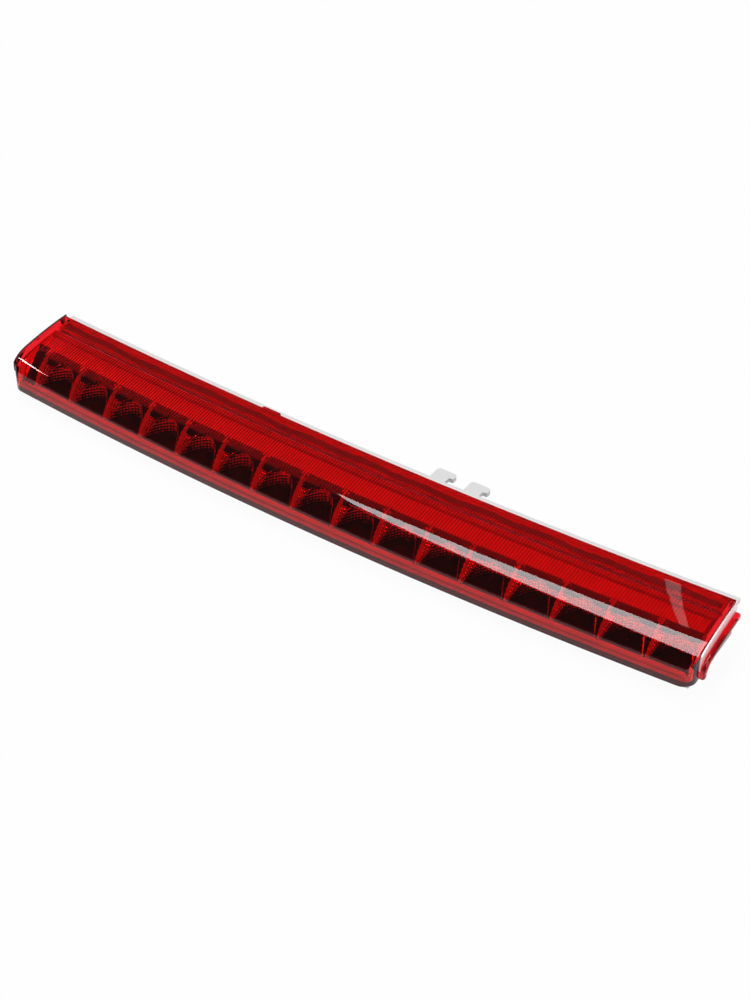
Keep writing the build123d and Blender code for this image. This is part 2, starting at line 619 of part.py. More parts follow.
def reflector_bar():
    """Uncut reflector: sloping mouth, land under the broad face and upright back."""
    foot_y = NOSE_Y + MOUTH_FOOT
    back_y = NOSE_Y + SHELF_BACK
    rise = (back_y - foot_y) * math.tan(math.radians(MOUTH_SLOPE_DEG))
    mouth = Polyline((foot_y, Z_BOARD_TOP), (back_y, Z_BOARD_TOP), (back_y, Z_BOARD_TOP + rise), close=True)
    return bend(Plane.YZ * (make_face(mouth) & under_section(LENS_WALL + LAND_DROP)))


def make_reflector():
    """Bright reflector: one moulding with a dish for each diode, a land, a sill and screw blocks."""
    end_inset = INNER_INSET + REFLECTOR_CLEARANCE
    bar = reflector_bar()
    whole = plan(0, REFLECTOR_BACK, end_inset)
    body = bar & slab(whole, 0, TALL)
    hollow = dish_hollow()
    for cell in range(-1, CELL_COUNT):
        body -= along_nose(cell_x(cell), DISH_VERTEX, Z_BOARD_TOP) * hollow
    pocket_top = face_height(POCKET_FRONT) - LENS_WALL - LAND_DROP - LAND_WALL
    pocket = slab(plan(POCKET_FRONT, POCKET_BACK, end_inset + END_PLATE), 0, pocket_top)
    for place in screw_places():
        pocket -= place * Box(SCREW_BLOCK_WIDTH, 2 * PARTS_ROOM, TALL, align=ON_BASE)
        pocket += place * Cylinder(SCREW_RADIUS + FIT_GAP, SCREW_LENGTH, align=ON_BASE)
    body -= pocket
    body += bar & slab(whole - plan(0, SHELF_BACK, end_inset + END_PLATE), 0, TALL)
    sill = plan(SILL_FRONT, SILL_BACK, end_inset, rear_line=nose_line)
    return body + slab(sill, Z_BOARD, Z_BOARD_TOP + SILL_RISE)


# ---- Small parts --------------------------------------------------------------------------------
def make_board_screws():
    """Hexagon-headed screws from under the board into the reflector's blocks."""
    head = extrude(RegularPolygon(SCREW_HEAD_RADIUS, 6), amount=-SCREW_HEAD_HEIGHT)
    shank = Cylinder(SCREW_RADIUS, SCREW_LENGTH, align=ON_BASE)
    return Compound(children=[place * Pos(0, 0, -BOARD_THICKNESS) * (head + shank) for place in screw_places()])


def make_threaded_insert(side):
    """Brass insert, flush with the housing's underside."""
    body = Cylinder(INSERT_RADIUS, INSERT_LENGTH, align=ON_BASE)
    body -= Cylinder(INSERT_BORE_RADIUS, TALL)
    return along_back(side * BOSS_X, LENS_DEPTH - BOSS_SETBACK, Z_UNDERSIDE) * body


def make_terminal_pin(side):
    """Bent pin from the plug socket through the back wall down to the board."""
    length = SOCKET_BOTTOM + PIN_REACH - PIN_AT + PIN_THICKNESS / 2
    blade = Box(PIN_WIDTH, length, PIN_THICKNESS, align=(Align.CENTER, Align.MIN, Align.CENTER))
    leg = Box(PIN_WIDTH, PIN_THICKNESS, Z_SOCKET - Z_BOARD, align=UNDER_TOP)
    pin = Pos(0, -PIN_THICKNESS / 2, 0) * blade + leg
    return Pos(side * PIN_SPACING / 2, back_line(PIN_AT, 0), Z_SOCKET) * pin


def make_breather_membrane():
    """Thin disc that lets air through and keeps water out."""
    disc = Circle(BREATHER_RADIUS - BREATHER_RING)
    return breather_place(MEMBRANE_SEAT) * extrude(disc, amount=MEMBRANE_THICKNESS)


def make_breather_cap():
    """Cap over the membrane: a disc with a slotted spigot."""
    spigot_radius = BREATHER_RADIUS - BREATHER_RING - FIT_GAP
    spigot_length = BREATHER_PROUD - MEMBRANE_SEAT - MEMBRANE_THICKNESS
    ring = Circle(spigot_radius) - Circle(spigot_radius - CAP_SPIGOT_WALL)
    disc = Pos(0, 0, spigot_length) * extrude(Circle(BREATHER_RADIUS), amount=CAP_THICKNESS)
    cap = disc + extrude(ring, amount=spigot_length)
    for turn in (0, 90):
        cap -= Rot(0, 0, turn) * Box(3 * BREATHER_RADIUS, CAP_SLOT, 2 * spigot_length)
    return breather_place(MEMBRANE_SEAT + MEMBRANE_THICKNESS) * cap


# ---- All the pieces, by node --------------------------------------------------------------------
def make_parts():
    """Every piece of the lamp under the name of its node."""
    parts = {
        "outer_lens": make_outer_lens(),
        "rear_seal_bead": make_rear_seal_bead(),
        "rim_seal_bead": make_rim_seal_bead(),
        "housing": make_housing(),
        "base_gasket": make_base_gasket(),
        "reflector": make_reflector(),
        "led_board": make_led_board(),
        "board_screws": make_board_screws(),
        "string_resistors": make_string_resistors(),
        "reverse_polarity_diode": make_moulded_part(DIODE_STEP, DIODE_SIZE),
        "surge_suppressor": make_moulded_part(SUPPRESSOR_STEP, SUPPRESSOR_SIZE),
        "filter_capacitor": make_moulded_part(CAPACITOR_STEP, CAPACITOR_SIZE),
        "terminal_pin_left": make_terminal_pin(-1),
        "terminal_pin_right": make_terminal_pin(1),
        "threaded_insert_left": make_threaded_insert(-1),
        "threaded_insert_right": make_threaded_insert(1),
        "breather_membrane": make_breather_membrane(),
        "breather_cap": make_breather_cap(),
    }
    for cell in range(CELL_COUNT):
        parts[f"led_{cell + 1:02d}"] = make_led(cell)
    return parts


os.makedirs("parts", exist_ok=True)
for node, solid in make_parts().items():
    solid.label = node
    export_step(solid, os.path.join("parts", node + ".step"))
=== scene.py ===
"""Looks of the third brake light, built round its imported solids.

Every size is in millimetres until a mesh is made. +X runs along the lamp, -Y is the nose that the light
leaves through and +Z is up. A depth is a distance back from the front of the nose, on the nose's own bend.
"""

import logging
import math
from dataclasses import dataclass, field
from enum import Enum
from typing import Iterable, Sequence

import bmesh
import bpy
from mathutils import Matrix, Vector


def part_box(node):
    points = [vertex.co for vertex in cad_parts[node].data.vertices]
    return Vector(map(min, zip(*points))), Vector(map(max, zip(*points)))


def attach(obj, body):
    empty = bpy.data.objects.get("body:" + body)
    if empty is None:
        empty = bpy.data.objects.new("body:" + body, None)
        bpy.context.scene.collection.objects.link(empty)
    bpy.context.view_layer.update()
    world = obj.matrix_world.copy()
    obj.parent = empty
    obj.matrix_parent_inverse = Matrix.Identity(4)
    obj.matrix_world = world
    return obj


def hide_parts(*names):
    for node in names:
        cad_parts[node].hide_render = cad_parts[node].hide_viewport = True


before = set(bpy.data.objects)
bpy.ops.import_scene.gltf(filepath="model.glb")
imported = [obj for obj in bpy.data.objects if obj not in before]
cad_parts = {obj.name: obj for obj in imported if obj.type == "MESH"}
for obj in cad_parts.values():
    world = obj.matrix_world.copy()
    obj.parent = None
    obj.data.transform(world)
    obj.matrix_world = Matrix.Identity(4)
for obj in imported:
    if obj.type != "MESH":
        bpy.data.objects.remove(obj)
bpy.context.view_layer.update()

LOG = logging.getLogger("lamp")
MM = 0.001
BODY = "root"

Point = tuple[float, float, float]
Colour = tuple[float, float, float]
Grid = list[list[Point]]
Faces = list[tuple[int, ...]]
Inputs = dict[str | int, object]


class Slot(Enum):
    """The record's material slot names; the pieces made here don't take their finish from them."""

    LENS = "red_lens"
    GLUE = "glue"
    REFLECTOR = "reflector_bright"


class Texture(Enum):
    """Surface textures that a plain moulded or metal finish can carry."""

    SMOOTH = "smooth"
    CELLS = "cells"
    TURNED = "turned"


# ---- Shader maths ----


class Link:
    """A node's output socket that can stand in a Python expression."""

    def __init__(self, tree: "ShaderTree", socket: bpy.types.NodeSocket | None) -> None:
        """Keeps the socket with the tree that it belongs to."""
        self.tree = tree
        self.socket = socket

    def _math(self, operation: str, first: "Link | float", second: "Link | float") -> "Link":
        """Adds one Math node.

        Args:
            operation: The Math node's operation.
            first: Its first value.
            second: Its second value.

        Returns:
            The node's result.
        """
        return self.tree.node("ShaderNodeMath", {"operation": operation}, {0: first, 1: second})

    def __add__(self, other: "Link | float") -> "Link":
        """This value plus another."""
        return self._math("ADD", self, other)

    def __rsub__(self, other: float) -> "Link":
        """A number minus this value."""
        return self._math("SUBTRACT", other, self)

    def __mul__(self, other: "Link | float") -> "Link":
        """This value times another."""
        return self._math("MULTIPLY", self, other)

    def largest(self, other: "Link | float") -> "Link":
        """The larger of this value and another."""
        return self._math("MAXIMUM", self, other)


class ShaderTree:
    """The node tree of a material or of the world."""

    def __init__(self, owner: bpy.types.Material | bpy.types.World) -> None:
        """Empties the owner's node tree.

        Args:
            owner: The material or world whose nodes are built here.
        """
        owner.use_nodes = True
        self.nodes = owner.node_tree.nodes
        self.links = owner.node_tree.links
        self.nodes.clear()

    def node(
        self,
        kind: str,
        settings: dict[str, object] | None = None,
        inputs: Inputs | None = None,
        output: str | int = 0,
    ) -> Link:
        """Adds a node of any type.

        Args:
            kind: The node's type.
            settings: Its own settings, set first. "stops" holds a ramp's positions and colours.
            inputs: The values or links of its sockets.
            output: The output socket to hand back.

        Returns:
            That output socket.
        """
        made = self.nodes.new(kind)
        for name, value in (settings or {}).items():
            if name == "stops":
                self._set_stops(made.color_ramp, value)
            else:
                setattr(made, name, value)
        for name, value in (inputs or {}).items():
            if isinstance(value, Link):
                self.links.new(value.socket, made.inputs[name])
            else:
                made.inputs[name].default_value = value
        return Link(self, made.outputs[output]) if made.outputs else Link(self, None)

    @staticmethod
    def _set_stops(ramp: bpy.types.ColorRamp, stops: Sequence[tuple[float, float]]) -> None:
        """Sets the two stops of a ramp.

        Args:
            ramp: The ramp.
            stops: Position and grey level of each stop.
        """
        for element, (place, level) in zip(ramp.elements, stops):
            element.position = place
            element.color = (level, level, level, 1.0)

    def ray(self, kind: str) -> Link:
        """Whether the ray that asks is of a kind, such as Is Camera Ray."""
        return self.node("ShaderNodeLightPath", output=kind)

    def sees_background(self) -> Link:
        """Whether the ray comes from the eye, off a mirror or through glass."""
        mirrored, through = self.ray("Is Glossy Ray"), self.ray("Is Transmission Ray")
        return self.ray("Is Camera Ray").largest(mirrored).largest(through)

    def place(self, scale: Point = (1.0, 1.0, 1.0)) -> Link:
        """The surface point's place on the object, in metres, scaled along each axis."""
        where = self.node("ShaderNodeTexCoord", output="Object")
        return self.node("ShaderNodeVectorMath", {"operation": "MULTIPLY"}, {0: where, 1: scale})

    def noise(self, size: float, detail: float = 3.0, scale: Point = (1.0, 1.0, 1.0)) -> Link:
        """Soft noise.

        Args:
            size: Size of its grains, in millimetres.
            detail: Number of finer layers.
            scale: Stretch along each axis.

        Returns:
            The noise, from 0 to 1.
        """
        inputs = {"Vector": self.place(scale), "Scale": 1 / (size * MM), "Detail": detail}
        return self.node("ShaderNodeTexNoise", {}, inputs, "Fac")

    def rise(self, value: Link, start: float, end: float) -> Link:
        """A value's way from a start, where it gives 0, to an end, where it gives 1."""
        return self.node("ShaderNodeValToRGB", {"stops": [(start, 0.0), (end, 1.0)]}, {"Fac": value})

    def between(self, pattern: Link, low: float, high: float) -> Link:
        """A level that a pattern from 0 to 1 moves between two others."""
        return pattern * (high - low) + low

    def mottled(self, pattern: Link, colour: Colour, share: float) -> Link:
        """A colour that is darker by a share where a pattern is 0."""
        return self.mix(pattern, tuple(part * (1 - share) for part in colour), colour)

    def mix(self, share: Link | float, low: Colour, high: Colour) -> Link:
        """A colour between two others.

        Args:
            share: How much of the second colour.
            low: The colour at a share of 0.
            high: The colour at a share of 1.

        Returns:
            The mixed colour.
        """
        inputs = {0: share, 6: (*low, 1.0), 7: (*high, 1.0)}
        return self.node("ShaderNodeMix", {"data_type": "RGBA"}, inputs, 2)

    def bump(self, height: Link, depth: float) -> Link:
        """A normal with bumps of a height from 0 to 1, where 1 stands for a depth in millimetres."""
        return self.node("ShaderNodeBump", {}, {"Height": height, "Distance": depth * MM})

    def surface(self, inputs: Inputs) -> None:
        """Ends the tree with a Principled shader that has these inputs."""
        shader = self.node("ShaderNodeBsdfPrincipled", {}, inputs)
        self.node("ShaderNodeOutputMaterial", {}, {"Surface": shader})


# ---- Finishes ----


@dataclass(frozen=True)
class Finish:
    """A named look, which is a Principled shader with inputs of its own."""

    name: str

    def inputs(self, tree: ShaderTree) -> Inputs:
        """The shader's inputs, worked out on the material's tree."""
        raise NotImplementedError

    def material(self) -> bpy.types.Material:
        """Makes the material.

        Returns:
            A new material each time.
        """
        made = bpy.data.materials.new(self.name)
        tree = ShaderTree(made)
        tree.surface(self.inputs(tree))
        return made


@dataclass(frozen=True)
class ClearPlastic(Finish):
    """Polished clear moulding that tints what is seen through it."""

    tint: Colour
    refraction: float = 1.46
    roughness: float = 0.0
    orange_peel: float = 0.004
    peel_size: float = 9.0

    def inputs(self, tree: ShaderTree) -> Inputs:
        """Clear and tinted, with a faint ripple.

        Args:
            tree: The material's tree.

        Returns:
            The Principled shader's inputs.
        """
        return {
            "Base Color": (*self.tint, 1.0),
            "Roughness": self.roughness,
            "IOR": self.refraction,
            "Transmission Weight": 1.0,
            "Normal": tree.bump(tree.noise(self.peel_size, 1.0), self.orange_peel),
        }


@dataclass(frozen=True)
class Moulding(Finish):
    """Opaque moulded plastic with faint cloudiness and the tool's texture."""

    colour: Colour
    roughness: float = 0.45
    texture: Texture = Texture.SMOOTH
    cloud: float = 0.06
    cloud_size: float = 18.0
    smear: float = 0.06
    smear_size: float = 4.0
    grain: float = 0.35
    grain_depth: float = 0.02
    coat: float = 0.0

    def inputs(self, tree: ShaderTree) -> Inputs:
        """Cloudy colour, smeared gloss, and a grain of cells or of noise.

        Args:
            tree: The material's tree.

        Returns:
            The Principled shader's inputs.
        """
        if self.texture is Texture.CELLS:
            cells = {"Vector": tree.place(), "Scale": 1 / (self.grain * MM)}
            height = tree.node("ShaderNodeTexVoronoi", {}, cells, "Distance")
        else:
            height = tree.noise(self.grain, 4.0)
        smears = tree.noise(self.smear_size)
        return {
            "Base Color": tree.mottled(tree.noise(self.cloud_size), self.colour, self.cloud),
            "Roughness": tree.between(smears, self.roughness - self.smear, self.roughness + self.smear),
            "Coat Weight": self.coat,
            "Normal": tree.bump(height, self.grain_depth),
        }


@dataclass(frozen=True)
class Metal(Finish):
    """Plain or plated metal."""

    colour: Colour
    roughness: float = 0.3
    texture: Texture = Texture.SMOOTH
    tarnish: float = 0.15
    spot_size: float = 2.2
    turned_stretch: float = 9.0
    shinier: float = 0.07
    duller: float = 0.08
    scratch_size: float = 0.3
    scratch_depth: float = 0.004

    def inputs(self, tree: ShaderTree) -> Inputs:
        """Tarnished in spots, which turning draws out into rings.

        Args:
            tree: The material's tree.

        Returns:
            The Principled shader's inputs.
        """
        stretch = self.turned_stretch if self.texture is Texture.TURNED else 1.0
        spots = tree.noise(self.spot_size, scale=(1.0, 1.0, stretch))
        return {
            "Base Color": tree.mottled(spots, self.colour, self.tarnish),
            "Metallic": 1.0,
            "Roughness": tree.between(spots, self.roughness - self.shinier, self.roughness + self.duller),
            "Normal": tree.bump(tree.noise(self.scratch_size), self.scratch_depth),
        }


@dataclass(frozen=True)
class ReflectorBody(Finish):
    """Satin white reflector whose sloping mouth between the dishes is dark, and less so near its top."""

    colour: Colour
    mouth: Colour
    facing: Point = (0.0, -0.7071, 0.7071)
    slope_start: float = 0.975
    slope_end: float = 0.985
    roughness: float = 0.4
    smear: float = 0.05
    gloss: float = 0.12
    cloud_size: float = 18.0
    top_band: float = 17.8
    top_blur: float = 0.01
    top_share: float = 0.22
    grain: float = 0.4
    grain_depth: float = 0.01

    def inputs(self, tree: ShaderTree) -> Inputs:
        """Darkened where the surface faces as the mouth does, less above the top band's height.

        Args:
            tree: The material's tree.

        Returns:
            The Principled shader's inputs.
        """
        normal = tree.node("ShaderNodeNewGeometry", output="True Normal")
        product = {"operation": "DOT_PRODUCT"}
        along = tree.node("ShaderNodeVectorMath", product, {0: normal, 1: self.facing}, "Value")
        sloping = tree.rise(along, self.slope_start, self.slope_end)
        height = tree.node("ShaderNodeSeparateXYZ", {}, {0: tree.place()}, "Z") * (0.5 / (self.top_band * MM))
        upper = tree.rise(height, 0.5 - self.top_blur, 0.5 + self.top_blur)
        clouds = tree.noise(self.cloud_size)
        return {
            "Base Color": tree.mix(sloping * (1 - upper * self.top_share), self.colour, self.mouth),
            "Roughness": tree.between(clouds, self.roughness - self.smear, self.roughness + self.smear),
            "Specular IOR Level": self.gloss,
            "Normal": tree.bump(tree.noise(self.grain), self.grain_depth),
        }


@dataclass(frozen=True)
class SolderMask(Finish):
    """Black lacquer over a circuit board, with faint tracks, dust and flux specks."""

    colour: Colour
    speck: Colour
    speck_size: float = 0.9
    speck_start: float = 0.66
    speck_end: float = 0.74
    shiny: float = 0.3
    dull: float = 0.5
    gloss: float = 0.1
    smear_size: float = 3.0
    track: float = 2.5
    track_bend: float = 4.0
    track_depth: float = 0.02

    def inputs(self, tree: ShaderTree) -> Inputs:
        """Black with specks, over bent tracks.

        Args:
            tree: The material's tree.

        Returns:
            The Principled shader's inputs.
        """
        specks = tree.rise(tree.noise(self.speck_size, 2.0), self.speck_start, self.speck_end)
        waves = {"Vector": tree.place(), "Scale": 1 / (self.track * MM), "Distortion": self.track_bend}
        tracks = tree.node("ShaderNodeTexWave", {}, waves, "Fac")
        return {
            "Base Color": tree.mix(specks, self.colour, self.speck),
            "Roughness": tree.between(tree.noise(self.smear_size), self.shiny, self.dull),
            "Specular IOR Level": self.gloss,
            "Normal": tree.bump(tracks, self.track_depth),
        }


# ---- Meshes ----


def add_object(
    name: str,
    points: Iterable[Point],
    faces: Iterable[Sequence[int]],
    material: bpy.types.Material,
    smooth_deg: float = 32.0,
) -> bpy.types.Object:
    """Makes one piece from its points and faces.

    Args:
        name: Name of the piece.
        points: Its points, in millimetres.
        faces: Its faces.
        material: Its material.
        smooth_deg: Edges that turn by less than this are shaded smooth.

    Returns:
        The piece, riding on the lamp's body.
    """
    mesh = bpy.data.meshes.new(name)
    mesh.from_pydata([tuple(part * MM for part in point) for point in points], [], list(faces))
    mesh.materials.append(material)
    shape = bmesh.new()
    shape.from_mesh(mesh)
    bmesh.ops.remove_doubles(shape, verts=shape.verts, dist=0.002 * MM)
    bmesh.ops.recalc_face_normals(shape, faces=shape.faces)
    shape.to_mesh(mesh)
    shape.free()
    mesh.shade_smooth()
    mesh.set_sharp_from_angle(angle=math.radians(smooth_deg))
    piece = bpy.data.objects.new(name, mesh)
    bpy.context.scene.collection.objects.link(piece)
    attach(piece, BODY)
    return piece


def grid_faces(columns: int, rows: int, start: int = 0, closed: bool = False) -> Faces:
    """Faces of a grid of points kept column by column.

    Args:
        columns: Number of columns.
        rows: Points in each column.
        start: Index of the first point.
        closed: Whether each column's last point joins its first.

    Returns:
        The faces.
    """
    faces = []
    for column in range(columns - 1):
        for row in range(rows if closed else rows - 1):
            near = start + column * rows
            far = near + rows
            after = (row + 1) % rows
            faces.append((near + row, far + row, far + after, near + after))
    return faces


def sheet_faces(columns: int, rows: int) -> Faces:
    """Faces of a closed sheet whose front points come column by column, and then its back points.

    Args:
        columns: Number of columns on each side.
        rows: Points in each column.

    Returns:
        The faces of both sides and of the four edges.
    """
    start = columns * rows
    faces = grid_faces(columns, rows) + grid_faces(columns, rows, start)
    for column in range(columns - 1):
        near, far = column * rows, (column + 1) * rows
        for row in (0, rows - 1):
            faces.append((near + row, far + row, start + far + row, start + near + row))
    for column in (0, columns - 1):
        for row in range(rows - 1):
            first = column * rows + row
            faces.append((first, first + 1, start + first + 1, start + first))
    return faces


def add_tube(
    name: str, sections: Sequence[Sequence[Point]], material: bpy.types.Material
) -> bpy.types.Object:
    """Makes one piece from closed sections in a row, with a cap at each end.

    Args:
        name: Name of the piece.
        sections: The points round each section, as many in each.
        material: Its material.

    Returns:
        The piece.
    """
    rows = len(sections[0])
    points = [point for section in sections for point in section]
    faces = grid_faces(len(sections), rows, closed=True)
    faces += [tuple(range(rows)), tuple(range(len(points) - rows, len(points)))]
    return add_object(name, points, faces, material)


def spread(first: float, last: float, count: int) -> list[float]:
    """Evenly spaced values from the first to the last."""
    return [first + (last - first) * step / (count - 1) for step in range(count)]


# ---- The lamp's form ----


@dataclass(frozen=True)
class LampForm:
    """The bends, section and ends that every piece of the lamp follows."""

    half_length: float = 186.2
    end_taper_deg: float = 2.6
    depth: float = 42.0
    nose_bend: float = 2380.0
    back_bend: float = 2940.0
    face_radius: float = 186.5
    nose_radius: float = 14.0
    nose_trim: float = 0.02
    level_behind: float = 2.45
    wall: float = 2.5
    board_top: float = 7.3
    row_offset: float = 4.7
    row_margin: float = 6.2
    cells: int = 16
    skirt: float = field(default_factory=lambda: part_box("outer_lens")[0].z / MM)
    top: float = field(default_factory=lambda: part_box("outer_lens")[1].z / MM)
    nose_y: float = field(default_factory=lambda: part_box("outer_lens")[0].y / MM)

    @property
    def level_at(self) -> float:
        """Depth at which the broad face is level."""
        return self.depth + self.level_behind

    @property
    def face_centre(self) -> float:
        """Height of the broad face's centre of curvature."""
        return self.top - math.sqrt(self.face_radius**2 - self.level_behind**2)

    @property
    def nose_centre(self) -> tuple[float, float]:
        """Centre of curvature of the nose.

        Returns:
            Its depth and height.
        """
        depth = self.nose_radius - self.nose_trim
        across = self.level_at - depth
        rise = math.sqrt((self.face_radius - self.nose_radius) ** 2 - across**2)
        return depth, self.face_centre + rise

    @property
    def join(self) -> float:
        """Angle from the vertical at which the nose takes over from the broad face."""
        depth, height = self.nose_centre
        return math.atan2(self.level_at - depth, height - self.face_centre)

    def y(self, depth: float, x: float) -> float:
        """Y of a point at a depth."""
        radius = self.nose_bend - depth
        return self.nose_y + self.nose_bend - math.sqrt(radius**2 - x**2)

    def back_depth(self, behind: float, x: float) -> float:
        """Depth of a line that follows the back edge's bend.

        Args:
            behind: How far the line is behind the back edge.
            x: Place along the lamp.

        Returns:
            The line's depth there.
        """
        radius = self.back_bend - behind
        y = self.depth + self.back_bend - math.sqrt(radius**2 - x**2)
        return self.nose_bend - math.hypot(x, self.nose_bend - y)

    def end_x(self, depth: float, inset: float = 0.0) -> float:
        """X of the right end wall at a depth, moved in by an inset."""
        return self.half_length - depth * math.tan(math.radians(self.end_taper_deg)) - inset

    @property
    def cell_pitch(self) -> float:
        """Spacing of the cells along the lamp."""
        return 2 * (self.half_length - self.row_margin) / self.cells

    def cell_x(self, cell: int) -> float:
        """X of the middle of a cell, counted from the left end of the row."""
        return self.row_offset + (cell - (self.cells - 1) / 2) * self.cell_pitch

    def back_y(self, behind: float, x: float) -> float:
        """Y of a line that follows the back edge's bend, so far behind it."""
        radius = self.back_bend - behind
        return self.nose_y + self.depth + self.back_bend - math.sqrt(radius**2 - x**2)

    def face_height(self, depth: float, offset: float = 0.0) -> float:
        """Height of the broad face at a depth, set in by an offset."""
        return self.face_centre + math.sqrt((self.face_radius - offset) ** 2 - (self.level_at - depth) ** 2)

    def join_depth(self, offset: float) -> float:
        """Depth at which the broad face, set in by an offset, ends."""
        return self.level_at - (self.face_radius - offset) * math.sin(self.join)

    def nose_arc(self, offset: float, count: int) -> list[tuple[float, float]]:
        """Points down the round of the nose.

        Args:
            offset: How far they are set in from the outside.
            count: Number of points.

        Returns:
            Their depths and heights.
        """
        depth, height = self.nose_centre
        radius = self.nose_radius - offset
        turns = spread(self.join, math.pi / 2, count)
        return [(depth - radius * math.sin(turn), height + radius * math.cos(turn)) for turn in turns]

    def beside_end(self, side: int, depth: float, height: float, out: float) -> Point:
        """A point on an end wall or beside it.

        Args:
            side: 1 for the right end and -1 for the left.
            depth: Its distance back along the wall.
            height: Its height.
            out: How far it stands out from the wall.

        Returns:
            The point.
        """
        lean = math.radians(self.end_taper_deg)
        x = self.half_length + out * math.cos(lean) - depth * math.sin(lean)
        y = self.y(0.0, self.half_length) + out * math.sin(lean) + depth * math.cos(lean)
        return (side * x, y, height)


# ---- Outer lens ----


@dataclass
class OuterLens:
    """Red shell with flutes inside its broad face, a tongue for the glue, end bars and a tab."""

    form: LampForm
    finish: ClearPlastic
    bar_finish: ClearPlastic
    flute_pitch: float = 1.5
    flute_sag: float = 0.19
    flute_front: float = 13.5
    flute_back: float = 1.2
    flute_steps: int = 6
    front_fade: float = 1.0
    back_fade: float = 0.5
    plain_end: float = 6.5
    plain_columns: int = 12
    corner: float = 6.5
    edge_round: float = 0.5
    edge_steps: int = 5
    face_rows: int = 12
    nose_rows: int = 14
    tongue_setback: float = 9.0
    tongue_width: float = 1.8
    tongue_length: float = 3.4
    tongue_gap: float = 0.01
    back_rows: int = 5
    front_rows: int = 9
    bar_drop: float = 8.4
    bar_width: float = 3.2
    bar_reach: float = 2.78
    bar_round: float = 1.2
    bar_tail: float = 0.5
    bar_end_turns: tuple[float, ...] = (0.12, 0.5, 0.9, 1.3)
    bar_end_share: float = 0.4
    joint: float = 0.03
    tab_x: float = -55.3
    tab_width: float = 10.4
    tab_reach: float = 2.3
    tab_thickness: float = 1.5
    tab_round: float = 0.8

    @property
    def flute_count(self) -> int:
        """How many flutes fit between the plain ends."""
        return int(2 * (self.form.half_length - self.plain_end) / self.flute_pitch)

    @property
    def flute_reach(self) -> float:
        """X of the last flute's far side."""
        return self.flute_count * self.flute_pitch / 2

    def stations(self) -> list[float]:
        """Places along the lamp of the columns of points.

        Returns:
            Their x, from the left end to the right.
        """
        reach = self.flute_reach
        middle = spread(-reach, reach, self.flute_count * self.flute_steps + 1)
        flat_end = self.form.half_length - self.edge_round
        plain = spread(reach, flat_end, self.plain_columns)[1:]
        turns = spread(0, math.pi / 2, self.edge_steps)[1:]
        right = plain + [flat_end + self.edge_round * math.sin(turn) for turn in turns]
        return [-x for x in reversed(right)] + middle + right

    def corner_depth(self, x: float, radius: float, end: float) -> float:
        """How far the skirt stands back at a place, because the corner is rounded in plan."""
        into = abs(x) - (end - radius)
        return radius - math.sqrt(max(radius**2 - into**2, 0)) if into > 0 else 0.0

    def at(self, x: float, depth: float, height: float, inset: float) -> Point:
        """One point of the shell.

        Args:
            x: Its column's place along the lamp.
            depth: Its depth.
            height: Its height.
            inset: How far the end of its skin is inside the end wall.

        Returns:
            The point, with the ends' taper and inset given to the plain columns near the ends.
        """
        form = self.form
        share = max(0.0, abs(x) - (form.half_length - self.plain_end)) / self.plain_end
        moved = x - math.copysign(share * (depth * math.tan(math.radians(form.end_taper_deg)) + inset), x)
        return (moved, form.y(depth, moved), height)

    def outer_column(self, x: float) -> list[Point]:
        """Points down the outside, from the back edge over the nose to the foot of the skirt.

        Args:
            x: The column's place along the lamp.

        Returns:
            The points.
        """
        form = self.form
        into = max(0.0, abs(x) - (form.half_length - self.edge_round))
        offset = self.edge_round - math.sqrt(max(self.edge_round**2 - into**2, 0))
        clamp = self.corner_depth(x, self.corner, form.half_length)
        rows = []
        for depth in spread(form.back_depth(-offset, x), form.join_depth(offset), self.face_rows):
            rows.append((depth, form.face_height(depth, offset)))
        arc = form.nose_arc(offset, self.nose_rows)
        foot = form.skirt + offset
        rows += arc[1:]
        rows += [(arc[-1][0], (arc[-1][1] + foot) / 2), (arc[-1][0], foot)]
        return [self.at(x, max(depth, clamp + offset), height, 0.0) for depth, height in rows]

    def flute(self, x: float, depth: float) -> float:
        """How far a flute stands down from the inner face.

        Args:
            x: Place along the lamp.
            depth: Depth there.

        Returns:
            The distance, which fades out at both ends of the flutes.
        """
        reach = self.flute_reach
        behind = self.form.back_depth(-self.flute_back, x)
        if abs(x) > reach or depth > behind or depth < self.flute_front:
            return 0.0
        across = ((x + reach) / self.flute_pitch) % 1.0
        fade = min(1.0, (depth - self.flute_front) / self.front_fade, (behind - depth) / self.back_fade)
        return self.flute_sag * (1 - (2 * across - 1) ** 2) * fade

    def fluted_height(self, x: float, depth: float) -> float:
        """Height of the inner face, flutes and all, at a place along the lamp and a depth."""
        return self.form.face_height(depth, self.form.wall) - self.flute(x, depth)

    def inner_column(self, x: float) -> list[Point]:
        """Points down the inside, past the tongue, flutes and nose to the foot of the skirt.

        Args:
            x: The column's place along the lamp.

        Returns:
            The points.
        """
        form = self.form
        wall = form.wall
        middle = form.back_depth(-self.tongue_setback, x)
        tongue_back = middle + self.tongue_width / 2
        tongue_front = middle - self.tongue_width / 2
        tip = form.top - wall - self.tongue_length
        back, front = form.back_depth(0.0, x), self.flute_front
        behind_tongue = spread(back - self.flute_back, tongue_back + self.tongue_gap, self.back_rows)
        before_tongue = spread(tongue_front - self.tongue_gap, front + self.front_fade, self.front_rows)
        rows = [(depth, self.fluted_height(x, depth)) for depth in [back, *behind_tongue]]
        rows += [(tongue_back, tip), (tongue_front, tip)]
        rows += [(depth, self.fluted_height(x, depth)) for depth in [*before_tongue, front]]
        rows += form.nose_arc(wall, self.nose_rows)
        rows += [(rows[-1][0], (rows[-1][1] + form.skirt) / 2), (rows[-1][0], form.skirt)]
        clamp = wall + self.corner_depth(x, self.corner - wall, form.half_length)
        return [self.at(x, max(depth, clamp), height, wall) for depth, height in rows]

